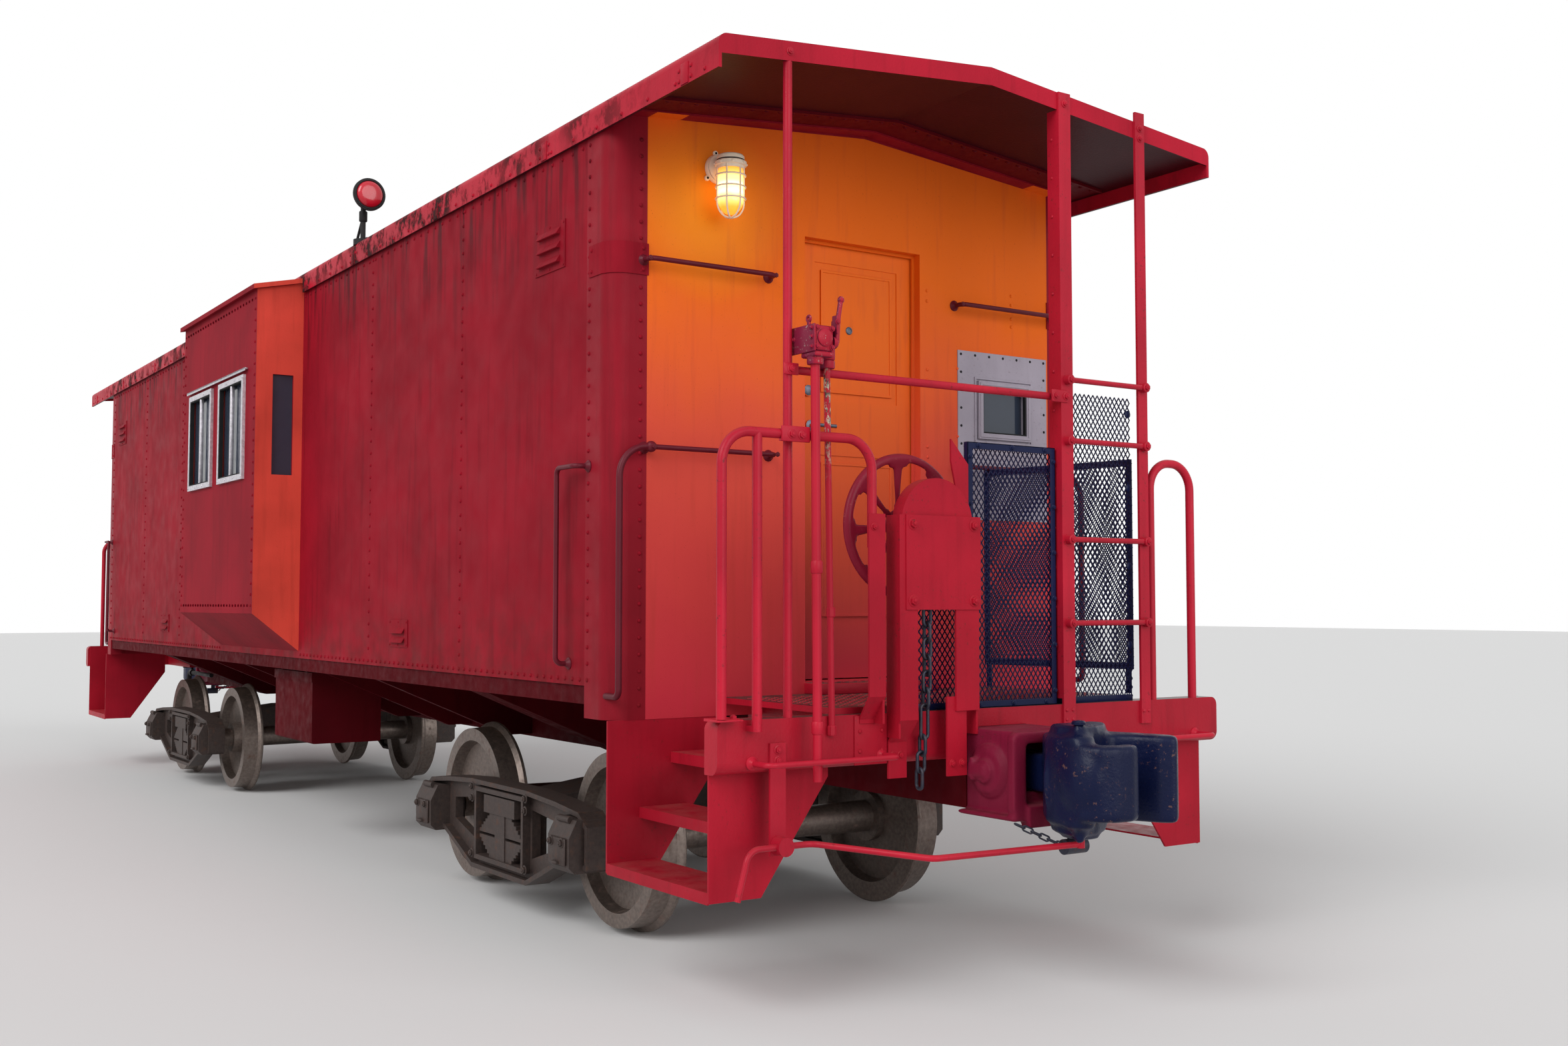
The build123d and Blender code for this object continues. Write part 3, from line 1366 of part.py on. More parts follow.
# Bogies: two side frames, a bolster on leaf springs
journal_y = journal_spacing / 2
frame_low = 250
frame_window_top = 580
frame_web = 46
frame_flange = 24
journal_box = 220
frame_half = (
    # (along the car, height) down the right half of a side frame, from the middle of its top
    (0, 640), (spring_window / 2 + 60, 640), (wheelbase / 2 - 190, axle_z + 175),
    (wheelbase / 2 + 60, axle_z + 150), (wheelbase / 2 + 150, axle_z + 90),
    (wheelbase / 2 + 150, axle_z - 110), (wheelbase / 2 - 130, axle_z - 115),
    (spring_window / 2 + 60, 175), (0, 175),
)
frame_hole = (
    (spring_window / 2 + 45, 300), (spring_window / 2 + 45, 540), (wheelbase / 2 - 190, axle_z + 60),
    (wheelbase / 2 - 190, axle_z - 50),
)
for end, name in ((1, "a"), (-1, "b")):
    x0 = end * bogie_x
    with BuildPart() as side_frames:
        for side in (-1, 1):
            middle_y = side * journal_y
            for width, ring in ((frame_web, False), (side_frame_width, True)):
                with BuildSketch(Plane.XZ.offset(-middle_y + width / 2)):
                    with BuildLine():
                        Polyline(
                            *[(x0 + x, z) for x, z in frame_half],
                            *[(x0 - x, z) for x, z in frame_half[-2:0:-1]],
                            close=True,
                        )
                    make_face()
                    if ring:
                        offset(amount=-frame_flange, mode=Mode.SUBTRACT)
                    with Locations((x0, (frame_window_top + frame_low) / 2)):
                        grown = frame_flange if ring else 0
                        Rectangle(spring_window + 2 * grown, frame_window_top - frame_low + 2 * grown)
                        Rectangle(spring_window, frame_window_top - frame_low, mode=Mode.SUBTRACT)
                    if not ring:
                        for way in (-1, 1):
                            with BuildLine():
                                Polyline(*[(x0 + way * x, z) for x, z in frame_hole], close=True)
                            make_face(mode=Mode.SUBTRACT)
                extrude(amount=-width)
            for way in (-1, 1):
                # Journal box with its sloping lid, bored from the inner side
                box_x = x0 + way * wheelbase / 2
                with BuildSketch(Plane.YZ.offset(box_x - journal_box / 2)):
                    with BuildLine():
                        inner_y = middle_y - side * side_frame_width / 2
                        outer_y = middle_y + side * (side_frame_width / 2 + 70)
                        Polyline(
                            (inner_y, axle_z - 125), (inner_y, axle_z + 120),
                            (outer_y - side * 40, axle_z + 120), (outer_y, axle_z + 40),
                            (outer_y, axle_z - 95), (outer_y - side * 30, axle_z - 125),
                            close=True,
                        )
                    make_face()
                extrude(amount=journal_box)
                add(disc((box_x - 60, outer_y - side * 34, axle_z + 118), (1, 0, 0), 34, 120))
                with Locations(Plane(
                    origin=(box_x, side * (journal_y - side_frame_width / 2), axle_z), z_dir=(0, side, 0),
                )):
                    Cylinder(journal_diameter / 2 + bearing_gap, 2 * side_frame_width - 40,
                             mode=Mode.SUBTRACT)
    write(side_frames, f"side_frames_{name}")

    with BuildPart() as bolster:
        with BuildSketch(Plane.YZ.offset(x0 - bolster_width / 2)):
            with BuildLine():
                Polyline(
                    (-journal_y - 60, 480), (-journal_y - 60, 570), (-journal_y + 120, 570),
                    (-500, 620), (-200, pivot_z - 25), (200, pivot_z - 25), (500, 620),
                    (journal_y - 120, 570), (journal_y + 60, 570), (journal_y + 60, 480),
                    (journal_y - 80, 480), (300, 430), (-300, 430), (-journal_y + 80, 480),
                    close=True,
                )
            make_face()
        extrude(amount=bolster_width)
        add(disc((x0, 0, pivot_z - 30), (0, 0, 1), centre_plate_diameter + 40, 30))
    write(bolster, f"bolster_{name}")

    with BuildPart() as springs:
        for side in (-1, 1):
            for leaf in range(6):
                length = spring_window - 30 - leaf * 50
                for low in (frame_low + (5 - leaf) * 18, 480 - (6 - leaf) * 18):
                    add(block(x0 - length / 2, x0 + length / 2,
                              side * journal_y - 50, side * journal_y + 50, low, low + 18))
            add(block(x0 - 60, x0 + 60, side * journal_y - 55, side * journal_y + 55, frame_low, 480))
    write(springs, f"bogie_springs_{name}")

# Wheelsets: two wheels pressed on an axle with its journals, as one turned piece
wheel_profile_y = wheel_back_gap / 2
for end, bogie in ((1, "a"), (-1, "b")):
    for way, place in ((1, "outer"), (-1, "inner")):
        x = end * (bogie_x + way * wheelbase / 2)
        tread = tread_diameter / 2
        with BuildPart() as wheelset:
            with BuildSketch(Plane.YZ.offset(x)):
                with BuildLine():
                    Polyline(
                        (0, axle_z), (0, axle_z + axle_diameter / 2 - 8),
                        (wheel_profile_y - 10, axle_z + axle_diameter / 2),
                        (wheel_profile_y - 10, axle_z + 130), (wheel_profile_y + 30, axle_z + 130),
                        (wheel_profile_y + 55, axle_z + 330), (wheel_profile_y, axle_z + 345),
                        (wheel_profile_y, axle_z + tread + flange_height - 8),
                        (wheel_profile_y + 8, axle_z + tread + flange_height),
                        (wheel_profile_y + 20, axle_z + tread + flange_height - 2),
                        (wheel_profile_y + flange_width + 8, axle_z + tread),
                        (wheel_profile_y + wheel_width, axle_z + tread - 6),
                        (wheel_profile_y + wheel_width, axle_z + 345),
                        (wheel_profile_y + 85, axle_z + 330), (wheel_profile_y + 75, axle_z + 130),
                        (wheel_profile_y + 150, axle_z + 120),
                        (wheel_profile_y + 150, axle_z + journal_diameter / 2 + 12),
                        (journal_y - side_frame_width / 2 - 20, axle_z + journal_diameter / 2 + 12),
                        (journal_y - side_frame_width / 2 - 20, axle_z + journal_diameter / 2),
                        (journal_y + side_frame_width / 2 - 25, axle_z + journal_diameter / 2),
                        (journal_y + side_frame_width / 2 - 25, axle_z),
                        close=True,
                    )
                make_face()
            revolve(axis=Axis((x, 0, axle_z), (0, 1, 0)))
            mirror(about=Plane.XZ)
        write(wheelset, f"wheelset_{bogie}_{place}")
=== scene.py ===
"""Looks of the bay-window caboose: paint, rivets, bolts, mesh, lamps, small fittings and a stage.

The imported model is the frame. Its nodes keep their shapes and get a finish here. Small parts that
the solids leave out, such as rivets and bolts, are modelled here in metres, in the same frame.
+X runs along the car to end A, -Y is the side that the camera sees, z = 0 is at the wheel flanges.
Pieces are made for end A, and their copies turned half round belong to end B.
"""

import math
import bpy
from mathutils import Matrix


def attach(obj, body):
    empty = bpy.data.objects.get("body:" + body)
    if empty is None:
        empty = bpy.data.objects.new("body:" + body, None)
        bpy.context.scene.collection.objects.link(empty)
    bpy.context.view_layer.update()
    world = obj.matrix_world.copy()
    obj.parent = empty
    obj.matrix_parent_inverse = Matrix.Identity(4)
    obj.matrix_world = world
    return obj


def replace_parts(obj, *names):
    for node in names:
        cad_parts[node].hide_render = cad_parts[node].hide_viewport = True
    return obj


bl_info = {
    "name": "Bay-window caboose",
    "version": (2, 0, 0),
    "blender": (4, 5, 0),
    "location": "3D View > Sidebar > Caboose",
    "description": "Paints the packed caboose, adds rivets, bolts and lamps, sets the stage",
    "category": "Add Mesh",
}

from functools import partial

import bpy
from bpy.props import FloatProperty, FloatVectorProperty, PointerProperty
from mathutils import Vector

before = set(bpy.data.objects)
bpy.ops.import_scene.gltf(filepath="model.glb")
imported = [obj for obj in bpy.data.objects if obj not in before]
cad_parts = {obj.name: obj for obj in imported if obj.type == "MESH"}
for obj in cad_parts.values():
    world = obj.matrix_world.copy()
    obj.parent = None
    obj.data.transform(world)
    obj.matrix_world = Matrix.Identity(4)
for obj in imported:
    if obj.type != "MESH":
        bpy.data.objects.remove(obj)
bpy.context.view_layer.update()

LengthProperty = partial(FloatProperty, unit="LENGTH")
ColourProperty = partial(FloatVectorProperty, size=4, subtype="COLOR", min=0, max=1)

OUT = Vector((1, 0, 0))
UP = Vector((0, 0, 1))

# Top of the end lamps' covers, above the base
LAMP_RISE = 2.420
# Dark primer that shows where paint is chipped, as a linear colour
PRIMER = (0.035, 0.018, 0.014, 1)


class BodySizes(bpy.types.PropertyGroup):
    """Places on the car body that its small parts follow."""
    end_x: LengthProperty(
        name="End wall", description="Outer face of the end wall along the car", default=5.160)
    side_y: LengthProperty(
        name="Side", description="Outer face of the side sheets across the car", default=1.330)
    bay_y: LengthProperty(
        name="Bay", description="Outer face of the bays across the car", default=1.625)
    platform_x: LengthProperty(
        name="End sill", description="Outer face of the end sill along the car", default=6.048)
    base_z: LengthProperty(
        name="Base", description="Lower edge of the end sheets", default=1.083)
    coupler_z: LengthProperty(
        name="Coupler", description="Middle of the coupler's shank", default=0.903)
    eave_rise: LengthProperty(
        name="Eave", description="Top of the roof at the eave, above the base", default=2.608)
    ridge_rise: LengthProperty(
        name="Ridge", description="Top of the roof in the middle, above the base", default=2.739)
    roof_half: LengthProperty(
        name="Roof", description="Half the width of the roof", default=1.350)
    rivet_pitch: LengthProperty(
        name="Rivet pitch", description="Distance between the rivets of a row", default=0.0696)
    rivet_radius: LengthProperty(
        name="Rivet radius", description="Radius of a rivet's head", default=0.0095)
    mesh_width: LengthProperty(
        name="Mesh width", description="Width of a diamond of the expanded metal", default=0.026)
    mesh_height: LengthProperty(
        name="Mesh height", description="Height of a diamond of the expanded metal", default=0.038)


class PaintColours(bpy.types.PropertyGroup):
    """Colours of the finishes, as linear values."""
    side_red: ColourProperty(
        name="Side red", description="Paint of the sides and corners",
        default=(0.25, 0.006, 0.016, 1))
    end_orange: ColourProperty(
        name="End orange", description="Panel of the end walls, at the top",
        default=(0.80, 0.135, 0.008, 1))
    end_coral: ColourProperty(
        name="End coral", description="Panel of the end walls, half way down",
        default=(0.66, 0.068, 0.046, 1))
    end_red: ColourProperty(
        name="End red", description="Panel of the end walls, at the foot",
        default=(0.54, 0.030, 0.050, 1))
    railing_red: ColourProperty(
        name="Railing red", description="Paint of railings, ladders and the roof's edge",
        default=(0.42, 0.010, 0.028, 1))
    stand_red: ColourProperty(
        name="Stand red", description="Paint of the brake stands, end sills and steps",
        default=(0.36, 0.008, 0.022, 1))
    striker_red: ColourProperty(
        name="Striker red", description="Dull paint of the striker castings",
        default=(0.17, 0.008, 0.030, 1))
    # Purple is painted shade on the brake valves' plates
    valve_purple_shade: ColourProperty(
        name="Valve purple", description="Faded paint of the brake valves and brake wheels",
        default=(0.17, 0.010, 0.034, 1))
    # Dark maroon of the roof's underside is painted shade
    soffit_maroon: ColourProperty(
        name="Soffit maroon", description="Underside of the roof and the grab irons",
        default=(0.050, 0.004, 0.008, 1))
    # Black paint with a painted reflection of the blue sky in it
    black_and_painted_sky: ColourProperty(
        name="Coupler black", description="Blue-black paint of couplers and mesh",
        default=(0.004, 0.007, 0.034, 1))
    lamp_ivory: ColourProperty(
        name="Lamp ivory", description="Casting and guard of the end lamps",
        default=(0.90, 0.74, 0.58, 1))
    lamp_amber: ColourProperty(
        name="Lamp amber", description="Glass of the lit end lamps",
        default=(1.0, 0.42, 0.04, 1))
    lens_red: ColourProperty(
        name="Lens red", description="Glass of the marker lamps",
        default=(0.50, 0.004, 0.020, 1))


class ViewSettings(bpy.types.PropertyGroup):
    """Where the camera stands, and how bright the stage is."""
    camera_place: FloatVectorProperty(
        name="Camera place", description="Where the camera stands",
        default=(10.886, -4.334, 1.567), size=3, subtype="TRANSLATION")
    camera_heading: FloatProperty(
        name="Heading", description="Direction of view, counted from +X towards +Y",
        default=math.radians(145.885), subtype="ANGLE")
    camera_pitch: FloatProperty(
        name="Pitch", description="How far the camera looks up",
        default=math.radians(2.961), subtype="ANGLE")
    lens: FloatProperty(
        name="Lens", description="Focal length in millimetres on a 36 mm wide sensor",
        default=35.67, min=5, max=300)
    key_strength: FloatProperty(
        name="Key lamp", description="Strength of the soft lamp on the camera's left",
        default=2.0, min=0, max=20)
    fill_strength: FloatProperty(
        name="Fill lamp", description="Strength of the soft lamp in front of the end",
        default=1.5, min=0, max=20)
    sky_strength: FloatProperty(
        name="Sky", description="Strength of the even light from all round",
        default=0.42, min=0, max=5)


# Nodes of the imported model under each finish
NODES = {
    "side_paint": "side_wall_left side_wall_right side_vents",
    "bay_paint": "bay_left bay_right",
    "end_paint": "end_wall_a end_wall_b",
    "door_paint": "door_a door_b",
    "roof_paint": "roof",
    "floor_boards": "floor",
    "frame_paint": "centre_sill side_sills cross_members tool_box",
    "platform_paint": "end_platform_a end_platform_b",
    "stand_paint": "steps brake_stands",
    "striker_paint": "strikers",
    "coupler_paint": "couplers",
    "railing_paint": "railings ladders uncoupling_levers",
    "grab_iron_paint": "grab_irons",
    "mesh_paint": "screens",
    "purple_paint": "brake_wheels brake_valves",
    "chain_metal": "brake_chains hose_chains",
    "under_black": "train_pipes marker_lamps smoke_stack air_tank brake_cylinder",
    "lamp_paint": "end_lamps",
    "lamp_glass": "lamp_globes",
    "window_plate": "end_window_frames",
    "window_metal": "bay_window_frames",
    "window_glass": "window_panes",
    "bogie_metal": "side_frames_a side_frames_b bolster_a bolster_b"
                   " bogie_springs_a bogie_springs_b",
    "wheel_metal": "wheelset_a_outer wheelset_a_inner wheelset_b_outer wheelset_b_inner",
}


# Helpers for pieces

def deselect():
    """Nothing selected, in object mode."""
    if bpy.context.mode != "OBJECT":
        bpy.ops.object.mode_set(mode="OBJECT")
    bpy.ops.object.select_all(action="DESELECT")


def select_only(*pieces):
    """Only these pieces selected, the first one active."""
    deselect()
    for piece in pieces:
        piece.select_set(True)
    bpy.context.view_layer.objects.active = pieces[0]


def put_place_in_mesh(piece):
    """Origin at the world's origin, unturned and unscaled."""
    select_only(piece)
    bpy.ops.object.transform_apply(location=True, rotation=True, scale=True)


def join(pieces):
    """Several pieces as one."""
    if len(pieces) == 1:
        return pieces[0]
    for piece in pieces:
        put_place_in_mesh(piece)
    select_only(*pieces)
    bpy.ops.object.join()
    return bpy.context.object


def copy_of(piece):
    """A copy of a piece with a mesh of its own."""
    select_only(piece)
    bpy.ops.object.duplicate(linked=False)
    return bpy.context.object


def turned_half_round(piece):
    """A copy of the piece for end B."""
    put_place_in_mesh(piece)
    other = copy_of(piece)
    select_only(other)
    bpy.ops.transform.rotate(value=math.pi, orient_axis="Z", center_override=(0, 0, 0))
    put_place_in_mesh(other)
    return other


def settle(piece, name, material, body="car"):
    """Names a piece, paints it and lets it ride on a body."""
    put_place_in_mesh(piece)
    piece.name = name
    piece.data.name = name
    piece.data.materials.clear()
    piece.data.materials.append(finish_of(material))
    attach(piece, body)
    return piece


def finish_both(pieces, name, material):
    """Pieces of end A and their copies at end B, as one piece on the car."""
    piece = join(pieces)
    return settle(join([piece, turned_half_round(piece)]), name, material)


def finish_apart(pieces, name, material, body):
    """Pieces that ride on a body of end A, and their copy on the same body of end B."""
    piece = join(pieces)
    other = turned_half_round(piece)
    settle(piece, f"{name}_a", material, body.format("a"))
    settle(other, f"{name}_b", material, body.format("b"))


def apply_modifier(piece, kind, **settings):
    """Adds a modifier with these settings and applies it."""
    select_only(piece)
    modifier = piece.modifiers.new(kind.title(), kind)
    for key, value in settings.items():
        setattr(modifier, key, value)
    bpy.ops.object.modifier_apply(modifier=modifier.name)


def repeated(piece, step, count):
    """The piece repeated along a line."""
    put_place_in_mesh(piece)
    if count > 1:
        apply_modifier(
            piece, "ARRAY", use_relative_offset=False, use_constant_offset=True,
            constant_offset_displace=step, count=count)
    return piece


def stood(piece, place, facing):
    """A piece made upright at the origin, turned to point along facing, at a place."""
    piece.rotation_euler = Vector(facing).to_track_quat("Z", "Y").to_euler()
    piece.location = place
    return piece


def stamped(pattern, spots):
    """Copies of a small upright piece at (place, facing) spots, as one piece. The pattern goes."""
    copies = [stood(copy_of(pattern), place, facing) for place, facing in spots]
    bpy.data.objects.remove(pattern)
    return join(copies)


def place_from(face_x, base_z):
    """A function that gives a place: how far out from a face, across, and above the base."""
    def at(out, across, rise):
        return face_x + out, across, base_z + rise
    return at


def on_circle(centre, radius, degrees, first=0, second=1):
    """A point of a circle round a centre. It lies in the plane of the two axes, here X and Y."""
    angle = math.radians(degrees)
    point = list(centre)
    point[first] += radius * math.cos(angle)
    point[second] += radius * math.sin(angle)
    return tuple(point)


def hoop(centre, radius, thickness, corners, first=0, second=1):
    """A round wire bent to a ring, with this many corners."""
    points = [on_circle(centre, radius, 360 / corners * number, first, second)
              for number in range(corners)]
    return tube(points, thickness, 8, closed=True, straight=True)


def edit_all(piece):
    """Edit mode, with all of the piece selected."""
    select_only(piece)
    bpy.ops.object.mode_set(mode="EDIT")
    bpy.ops.mesh.select_all(action="SELECT")


def face_outwards(piece):
    """Object mode, with all faces of the piece turned outwards."""
    edit_all(piece)
    bpy.ops.mesh.normals_make_consistent(inside=False)
    bpy.ops.object.mode_set(mode="OBJECT")


def select_faces(piece, test):
    """In edit mode, only the faces that pass a test of their centre and normal are selected."""
    select_only(piece)
    bpy.ops.object.mode_set(mode="EDIT")
    bpy.ops.mesh.select_mode(type="FACE")
    bpy.ops.mesh.select_all(action="DESELECT")
    bpy.ops.object.mode_set(mode="OBJECT")
    for face in piece.data.polygons:
        face.select = test(face.center, face.normal)
    bpy.ops.object.mode_set(mode="EDIT")


def draw_out(rings):
    """In edit mode, draws the selected ring out through (radius, height) rows."""
    for (radius, height), (next_radius, next_height) in zip(rings, rings[1:]):
        bpy.ops.mesh.extrude_region_move(
            TRANSFORM_OT_translate={"value": (0, 0, next_height - height)})
        share = next_radius / radius
        bpy.ops.transform.resize(value=(share, share, 1), center_override=(0, 0, 0))


def turned(profile, steps=24, smooth=True):
    """A round piece: a disc drawn out through (radius, height) rows, upright at the origin."""
    deselect()
    radius, height = profile[0]
    bpy.ops.mesh.primitive_circle_add(
        vertices=steps, radius=radius, fill_type="NGON", location=(0, 0, height))
    piece = bpy.context.object
    edit_all(piece)
    draw_out(profile)
    face_outwards(piece)
    put_place_in_mesh(piece)
    if smooth:
        bpy.ops.object.shade_smooth_by_angle(angle=math.radians(40))
    return piece


def slab(low, high, bevel=0.002, segments=2):
    """A plate or bar between two corners, with eased edges."""
    deselect()
    low, high = Vector(low), Vector(high)
    bpy.ops.mesh.primitive_cube_add(size=1, location=(low + high) / 2)
    piece = bpy.context.object
    piece.scale = [abs(v) for v in high - low]
    put_place_in_mesh(piece)
    if bevel:
        apply_modifier(piece, "BEVEL", width=bevel, segments=segments)
        bpy.ops.object.shade_smooth_by_angle(angle=math.radians(50))
    return piece


def open_frame(low, high, bar, axis):
    """A rectangular frame between two corners, open along an axis, with eased edges."""
    piece = slab(low, high, 0)
    select_faces(piece, lambda centre, normal: abs(normal[axis]) > 0.9)
    bpy.ops.mesh.inset(thickness=bar, use_even_offset=True)
    bpy.ops.mesh.bridge_edge_loops()
    face_outwards(piece)
    apply_modifier(piece, "BEVEL", width=0.0015, segments=2)
    return piece


def strap(points, width, thickness, along):
    """A flat strap of a width along one direction, laid through points."""
    deselect()
    bpy.ops.mesh.primitive_plane_add(size=1, location=(0, 0, 0))
    piece = bpy.context.object
    half = Vector(along) * width / 2
    start = Vector(points[0])
    for vertex, place in zip(piece.data.vertices, (start - half, start + half) * 2):
        vertex.co = place
    edit_all(piece)
    bpy.ops.mesh.remove_doubles(threshold=0.0001)
    bpy.ops.mesh.select_mode(type="EDGE")
    bpy.ops.mesh.select_all(action="SELECT")
    for here, there in zip(points, points[1:]):
        bpy.ops.mesh.extrude_region_move(
            TRANSFORM_OT_translate={"value": Vector(there) - Vector(here)})
    face_outwards(piece)
    apply_modifier(piece, "SOLIDIFY", thickness=thickness, offset=0)
    face_outwards(piece)
    bpy.ops.object.shade_smooth_by_angle(angle=math.radians(40))
    return piece


def dome(radius, height):
    """A low round rivet head, upright at the origin."""
    deselect()
    bpy.ops.mesh.primitive_uv_sphere_add(
        segments=8, ring_count=6, radius=radius, location=(0, 0, 0))
    head = bpy.context.object
    edit_all(head)
    bpy.ops.mesh.bisect(
        plane_co=(0, 0, -radius * 0.2), plane_no=(0, 0, 1), clear_inner=True, use_fill=True)
    bpy.ops.mesh.select_all(action="SELECT")
    bpy.ops.transform.resize(value=(1, 1, height / radius), center_override=(0, 0, 0))
    bpy.ops.object.mode_set(mode="OBJECT")
    bpy.ops.object.shade_smooth_by_angle(angle=math.radians(60))
    return head


def rivet_row(start, end, facing, sizes, pitch=None):
    """Rivets from one place to another, as near to the usual pitch as fits."""
    start, end = Vector(start), Vector(end)
    gaps = max(1, round((end - start).length / (pitch or sizes.rivet_pitch)))
    rivet = stood(dome(sizes.rivet_radius, sizes.rivet_radius * 0.75), start, facing)
    return repeated(rivet, (end - start) / gaps, gaps + 1)


def bolt(across, height, washer=True):
    """A hexagonal head on a washer, with the end of its shank, upright at the origin."""
    deselect()
    corner_radius = across / 1.732
    bpy.ops.mesh.primitive_cylinder_add(
        vertices=6, radius=corner_radius, depth=height, location=(0, 0, height / 2 + 0.001))
    head = bpy.context.object
    apply_modifier(head, "BEVEL", width=height * 0.16, segments=1, limit_method="ANGLE")
    shank = turned([(across * 0.30, height * 0.9), (across * 0.30, height * 1.25),
                    (across * 0.22, height * 1.4)], 10)
    parts = [head, shank]
    if washer:
        parts.append(turned([
            (across * 0.78, -0.001), (across * 0.78, 0.0018), (across * 0.7, 0.0028)], 14))
    return join(parts)


def screw_head(radius):
    """A pan head, upright at the origin."""
    return turned([
        (radius, -0.001), (radius, 0.0012), (radius * 0.8, 0.0028), (radius * 0.45, 0.0033)], 10)


def tube(points, radius, ring, closed=False, straight=False):
    """A round bar through points, as a mesh, with its corners smoothly bent."""
    curve = bpy.data.curves.new("bar", "CURVE")
    curve.dimensions = "3D"
    curve.bevel_depth = radius
    curve.bevel_resolution = max(1, ring // 4)
    curve.use_fill_caps = True
    spline = curve.splines.new("POLY" if straight else "NURBS")
    spline.points.add(len(points) - 1)
    for point, place in zip(spline.points, points):
        point.co = (*place, 1)
    spline.use_cyclic_u = closed
    if not straight:
        spline.order_u = 3
        spline.use_endpoint_u = not closed
        spline.resolution_u = 6
    piece = bpy.data.objects.new("bar", curve)
    bpy.context.scene.collection.objects.link(piece)
    select_only(piece)
    bpy.ops.object.convert(target="MESH")
    bpy.ops.object.shade_smooth_by_angle(angle=math.radians(50))
    return bpy.context.object


def cast_like(node, voxel, rounds, *lumps):
    """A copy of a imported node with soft, rounded edges, as of a casting, joined with lumps."""
    rough = bpy.data.objects.new(node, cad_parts[node].data.copy())
    bpy.context.scene.collection.objects.link(rough)
    edit_all(rough)
    bpy.ops.mesh.remove_doubles(threshold=0.00005)
    bpy.ops.object.mode_set(mode="OBJECT")
    rough = join([rough, *lumps])
    apply_modifier(rough, "REMESH", mode="VOXEL", voxel_size=voxel)
    apply_modifier(rough, "SMOOTH", factor=0.5, iterations=rounds)
    bpy.ops.object.shade_smooth()
    return rough


def roof_rise(sizes, across):
    """Height of the roof's outer face above a point that is this far across the car."""
    slope = (sizes.ridge_rise - sizes.eave_rise) / sizes.roof_half
    return sizes.base_z + sizes.ridge_rise - slope * abs(across)


# Helpers for materials

def finish_of(name):
    """The finished material of this name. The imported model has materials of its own."""
    return bpy.data.materials[f"finish_{name}"]


def new_material(name, specular=0.15):
    """An empty material with its shader."""
    material = bpy.data.materials.new(f"finish_{name}")
    material.use_nodes = True
    tree = material.node_tree
    tree.nodes.clear()
    output = tree.nodes.new("ShaderNodeOutputMaterial")
    shader = tree.nodes.new("ShaderNodeBsdfPrincipled")
    shader.inputs["Specular IOR Level"].default_value = specular
    tree.links.new(shader.outputs["BSDF"], output.inputs["Surface"])
    return tree, shader


def feed(tree, node, **inputs):
    """Puts values or other nodes' outputs into a node's inputs, named, or numbered after a _."""
    for key, value in inputs.items():
        socket = node.inputs[int(key[1:])] if key[0] == "_" else node.inputs[key.replace("_", " ")]
        if isinstance(value, bpy.types.NodeSocket):
            tree.links.new(value, socket)
        else:
            socket.default_value = value


def add_node(tree, kind, settings=None, **inputs):
    """A node with its settings, whose inputs are values or other nodes' outputs."""
    node = tree.nodes.new(kind)
    for key, value in (settings or {}).items():
        setattr(node, key, value)
    feed(tree, node, **inputs)
    return node


def place_of(tree, scale=(1, 1, 1)):
    """The point on the object, stretched by a scale."""
    coordinates = tree.nodes.new("ShaderNodeTexCoord")
    mapping = add_node(tree, "ShaderNodeMapping", Vector=coordinates.outputs["Object"], Scale=scale)
    return mapping.outputs["Vector"]


def axis_of(tree, axis):
    """One coordinate of the point on the object."""
    coordinates = tree.nodes.new("ShaderNodeTexCoord")
    parts = add_node(tree, "ShaderNodeSeparateXYZ", Vector=coordinates.outputs["Object"])
    return parts.outputs[axis]


def facing_of(tree, axis):
    """One coordinate of the direction that the surface faces."""
    geometry = tree.nodes.new("ShaderNodeNewGeometry")
    parts = add_node(tree, "ShaderNodeSeparateXYZ", Vector=geometry.outputs["Normal"])
    return parts.outputs[axis]


def noise(tree, size, detail=4, stretch=(1, 1, 1), roughness=0.55):
    """Noise whose patches are about this large in metres."""
    place = place_of(tree, tuple(s / size for s in stretch))
    node = add_node(tree, "ShaderNodeTexNoise", Vector=place, Scale=1.0, Detail=detail,
                    Roughness=roughness)
    return node.outputs["Fac"]


def ramp(tree, value, low, high, to_low=0.0, to_high=1.0):
    """Maps low..high of a value to to_low..to_high, and keeps it there."""
    node = add_node(tree, "ShaderNodeMapRange", {"clamp": True}, Value=value, From_Min=low,
                    From_Max=high, To_Min=to_low, To_Max=to_high)
    return node.outputs["Result"]


def sums(tree, operation, first, second=0.0):
    """Two numbers put together."""
    node = add_node(tree, "ShaderNodeMath", {"operation": operation}, _0=first, _1=second)
    return node.outputs[0]


def times(tree, first, second):
    """The product of two numbers."""
    return sums(tree, "MULTIPLY", first, second)


def mix(tree, factor, first, second):
    """Two colours mixed."""
    node = add_node(tree, "ShaderNodeMix", {"data_type": "RGBA"}, _0=factor, _6=first, _7=second)
    return node.outputs[2]


def shade(colour, factor):
    """A colour made darker or lighter."""
    return tuple(min(1.0, c * factor) for c in colour[:3]) + (1.0,)


def runs(tree, size, squeeze, low, high, amount):
    """Runs of dirt down a wall: noise that is squeezed upright, from none to this amount."""
    return ramp(tree, noise(tree, size, 5, (1, 1, squeeze)), low, high, 0, amount)


def chips(tree, cluster, chip, amount):
    """How far the paint is gone: clusters of small chips, about as large as this in metres."""
    clusters = ramp(tree, noise(tree, cluster, 3), 0.45, 0.62)
    edges = ramp(tree, noise(tree, chip, 6, roughness=0.7), 0.60, 0.63)
    return times(tree, times(tree, clusters, edges), amount)


